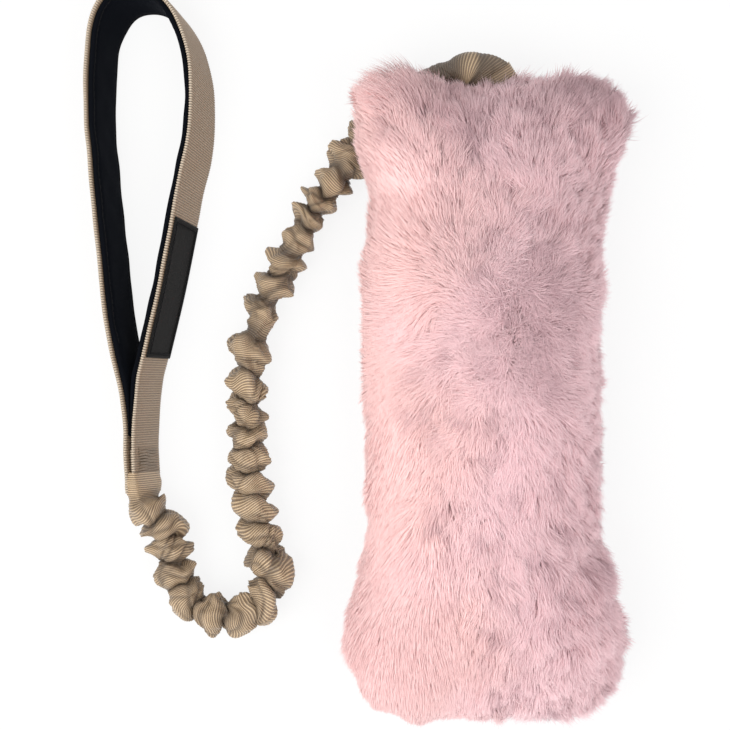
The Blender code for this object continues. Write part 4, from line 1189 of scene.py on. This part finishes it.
def fur_piece(name, roots, normals, rng, look):
    """Tapered ribbons, each four levels long."""
    count, still, tuft = len(roots), calm(roots), tufts(roots)
    quiet = still[:, None]
    levels, rough = strands(roots, normals, still, tuft, rng)
    points = ribbons(levels, normals, quiet, rng)
    tint, shade = pile_colour(roots, still, tuft, rng)
    first = 7 * np.arange(count)[:, None]
    corners = np.concatenate([first + face for face in STRAND_CORNERS], 1).ravel()
    cells = int(np.ceil(np.sqrt(count)))
    origin = np.stack((np.arange(count) % cells, np.arange(count) // cells), -1) / cells
    uv = (origin[:, None] + STRAND_MAP[None] / cells).reshape(-1, 2)
    layers = {"along": np.tile(STRAND_ALONG, count), "tint": np.repeat(tint, 7), "shade": np.repeat(shade, 7)}
    mesh = named_mesh(name, world(points.reshape(-1, 3)), corners, np.tile(STRAND_SIZES, count), uv, layers)
    facing = unit(normals + (0.30 - 0.15 * quiet) * unit(levels[3] - levels[0]) + 0.15 * rough)
    mesh.normals_split_custom_set_from_vertices(np.repeat(facing, 7, axis=0))
    return make_piece(name, mesh, look)


def turned_piece(name, node, slot, profile, look_name, colour, roughness):
    """A plastic piece turned round the squeaker's axis."""
    dark = tuple(0.85 * c for c in colour)
    look = mottled_look(look_name, dark, colour, (80.0,), (400.0,), 0.1, 0.0002,
                        roughness=roughness, specular=0.5)
    rows = np.array([
        [(BODY_X + r * math.cos(t), BODY_Y + r * math.sin(t), SEAM_Z + z) for t in turns_round(TURNED_SIDES)]
        for r, z in profile
    ])
    return grid_piece(name, node, rows, look, slot)


def squeaker_pieces():
    turn = np.linspace(-np.pi / 2, np.pi / 2, 19)
    lens = [(max(AXIS, BULB_RADIUS * math.cos(t)), BULB_HALF_HEIGHT * math.sin(t)) for t in turn]
    lens = [p for p in lens if p[0] > NECK_RADIUS or p[1] < 0]
    top = lens[-1][1]
    neck = [(NECK_RADIUS + 0.6, top + 0.4), (NECK_RADIUS, top + 1.2), (NECK_RADIUS, NECK_TOP - 0.3),
            (NECK_RADIUS - 0.3, NECK_TOP), (REED_RADIUS + GAP, NECK_TOP), (REED_RADIUS + GAP, NECK_TOP - 4)]
    reed = [(AXIS, NECK_TOP - 5), (REED_RADIUS - 0.3, NECK_TOP - 5), (REED_RADIUS, NECK_TOP - 4.7),
            (REED_RADIUS, NECK_TOP + GAP), (NECK_RADIUS - 0.5, NECK_TOP + GAP + 0.05),
            (NECK_RADIUS - 0.4, NECK_TOP + 0.6), (NECK_RADIUS - 0.6, NECK_TOP + 1.6), (1.6, NECK_TOP + 1.6),
            (1.2, NECK_TOP + 0.9), (AXIS, NECK_TOP + 0.9)]
    return (
        turned_piece("squeaker_bellows", "squeaker_bulb", "squeaker", lens + neck,
                     "squeaker_plastic", (0.85, 0.85, 0.83), 0.4),
        turned_piece("squeaker_whistle", "squeaker_reed", "reed", reed,
                     "reed_plastic", (0.80, 0.80, 0.80), 0.35),
    )


def tab_point(s, offset, share):
    """Points of the strap's flat end in the seam."""
    ahead = unit(STRAP.frame(0.0)[1] * (1, 1, 0))
    side = np.cross(ahead, (0, 0, 1.0))
    place = STRAP.at(0.0) * (1, 1, 0) + (0, 0, SEAM_Z)
    along = place + ahead * s[..., None] + side * (TAB_WIDTH * (share - 0.5))[..., None]
    return along + (0, 0, 1.0) * offset[..., None]


def anchor_pieces():
    webbing = webbing_look("webbing_anchor", 40.0, 30.0)
    tab = ribbed_strip("anchor_strip", "anchor_tab", tab_point, -TAB_INSIDE, 1.2, -TAB_THICKNESS / 2,
                       TAB_THICKNESS / 2, TAB_WIDTH, webbing)
    t, zig = zigzag(TACK_TURNS)
    along = -TAB_INSIDE + TACK_INSET + (TAB_INSIDE - TACK_SHORTER) * t
    share = 0.5 + (zig - 0.5) * (TAB_WIDTH - TACK_NARROWER) / TAB_WIDTH
    points = tab_point(along, np.full_like(t, TAB_THICKNESS / 2 + GAP), share)
    thread = thread_look("anchor_stitching", (0.17, 0.125, 0.082), (0.42, 0.33, 0.24))
    return tab, thread_piece("anchor_tack", "anchor_bartack", points, TACK_THREAD, thread, "thread")


def seam_piece():
    """The seam's thread, left out where the strap comes through."""
    rim = body_outline()
    line = rim + unit(to_spine(rim)) * (SKIN_INSET + GAP)
    line = np.column_stack((line, np.full(len(rim), SEAM_Z)))
    away = np.linalg.norm(line - STRAP.at(0.0), axis=1) > TAB_WIDTH * 0.7
    first = int(np.argmax(away & ~np.roll(away, 1)))
    line = np.roll(line, -first, axis=0)[: int(away.sum())]
    thread = thread_look("seam_stitching", (0.40, 0.22, 0.22), (0.72, 0.48, 0.47))
    return thread_piece("seam_stitches", "seam_thread", lifted(line), SEAM_THREAD, thread, "thread")


def pillow_pieces():
    inset = SKIN_INSET + SWELL
    back, front = plumped(*(half_pillow(inset, side, SKIN_FLOOR) for side in (-1, 1)))
    halves = (("front", front, 1, FRONT_FUR), ("back", back, -1, BACK_FUR))
    pressed = []
    for name, grid, _, _ in halves:
        look = mottled_look("fur_backing", (0.72, 0.42, 0.42), (0.86, 0.56, 0.55), (60.0, 4.0), (500.0,),
                            0.5, 0.0006, roughness=0.95, specular=0.1, sheen=0.3, sheen_tint=(1.0, 0.8, 0.8))
        skin = grid_piece("fur_" + name + "_skin", "fur_" + name + "_panel", grid, look, "fur", caps=False)
        pressed.append(skin)
    for name, _, side, _ in halves:
        look = mottled_look("stuffing", (0.74, 0.73, 0.70), (0.93, 0.92, 0.89), (90.0, 6.0), (160.0, 6.0),
                            0.8, 0.001, roughness=0.95, specular=0.1)
        grid = half_pillow(PANEL + GAP + FILL_GAP, side, PANEL + GAP)
        pressed.append(grid_piece("stuffing_" + name, "fill_" + name, grid, look, "fill", caps=False))
    pressed += squeaker_pieces()
    look = fur_look("fur_pile")
    for name, grid, _, count in halves:
        for k in range(count):
            roots, normals = scattered(grid, STRANDS, RNG)
            pressed.append(fur_piece("fur_%s_%d" % (name, k + 1), roots, normals, RNG, look))
    for piece in (*pressed, seam_piece(), *anchor_pieces()):
        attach(piece, "toy_body")
    for piece in pressed:
        if "back" not in piece.name:
            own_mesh(piece)


make_camera()
make_world()
for lamp in LAMPS:
    make_light(*lamp)
make_floor()
strap_pieces()
handle_pieces()
pillow_pieces()

bpy.context.scene.view_settings.view_transform = "Standard"
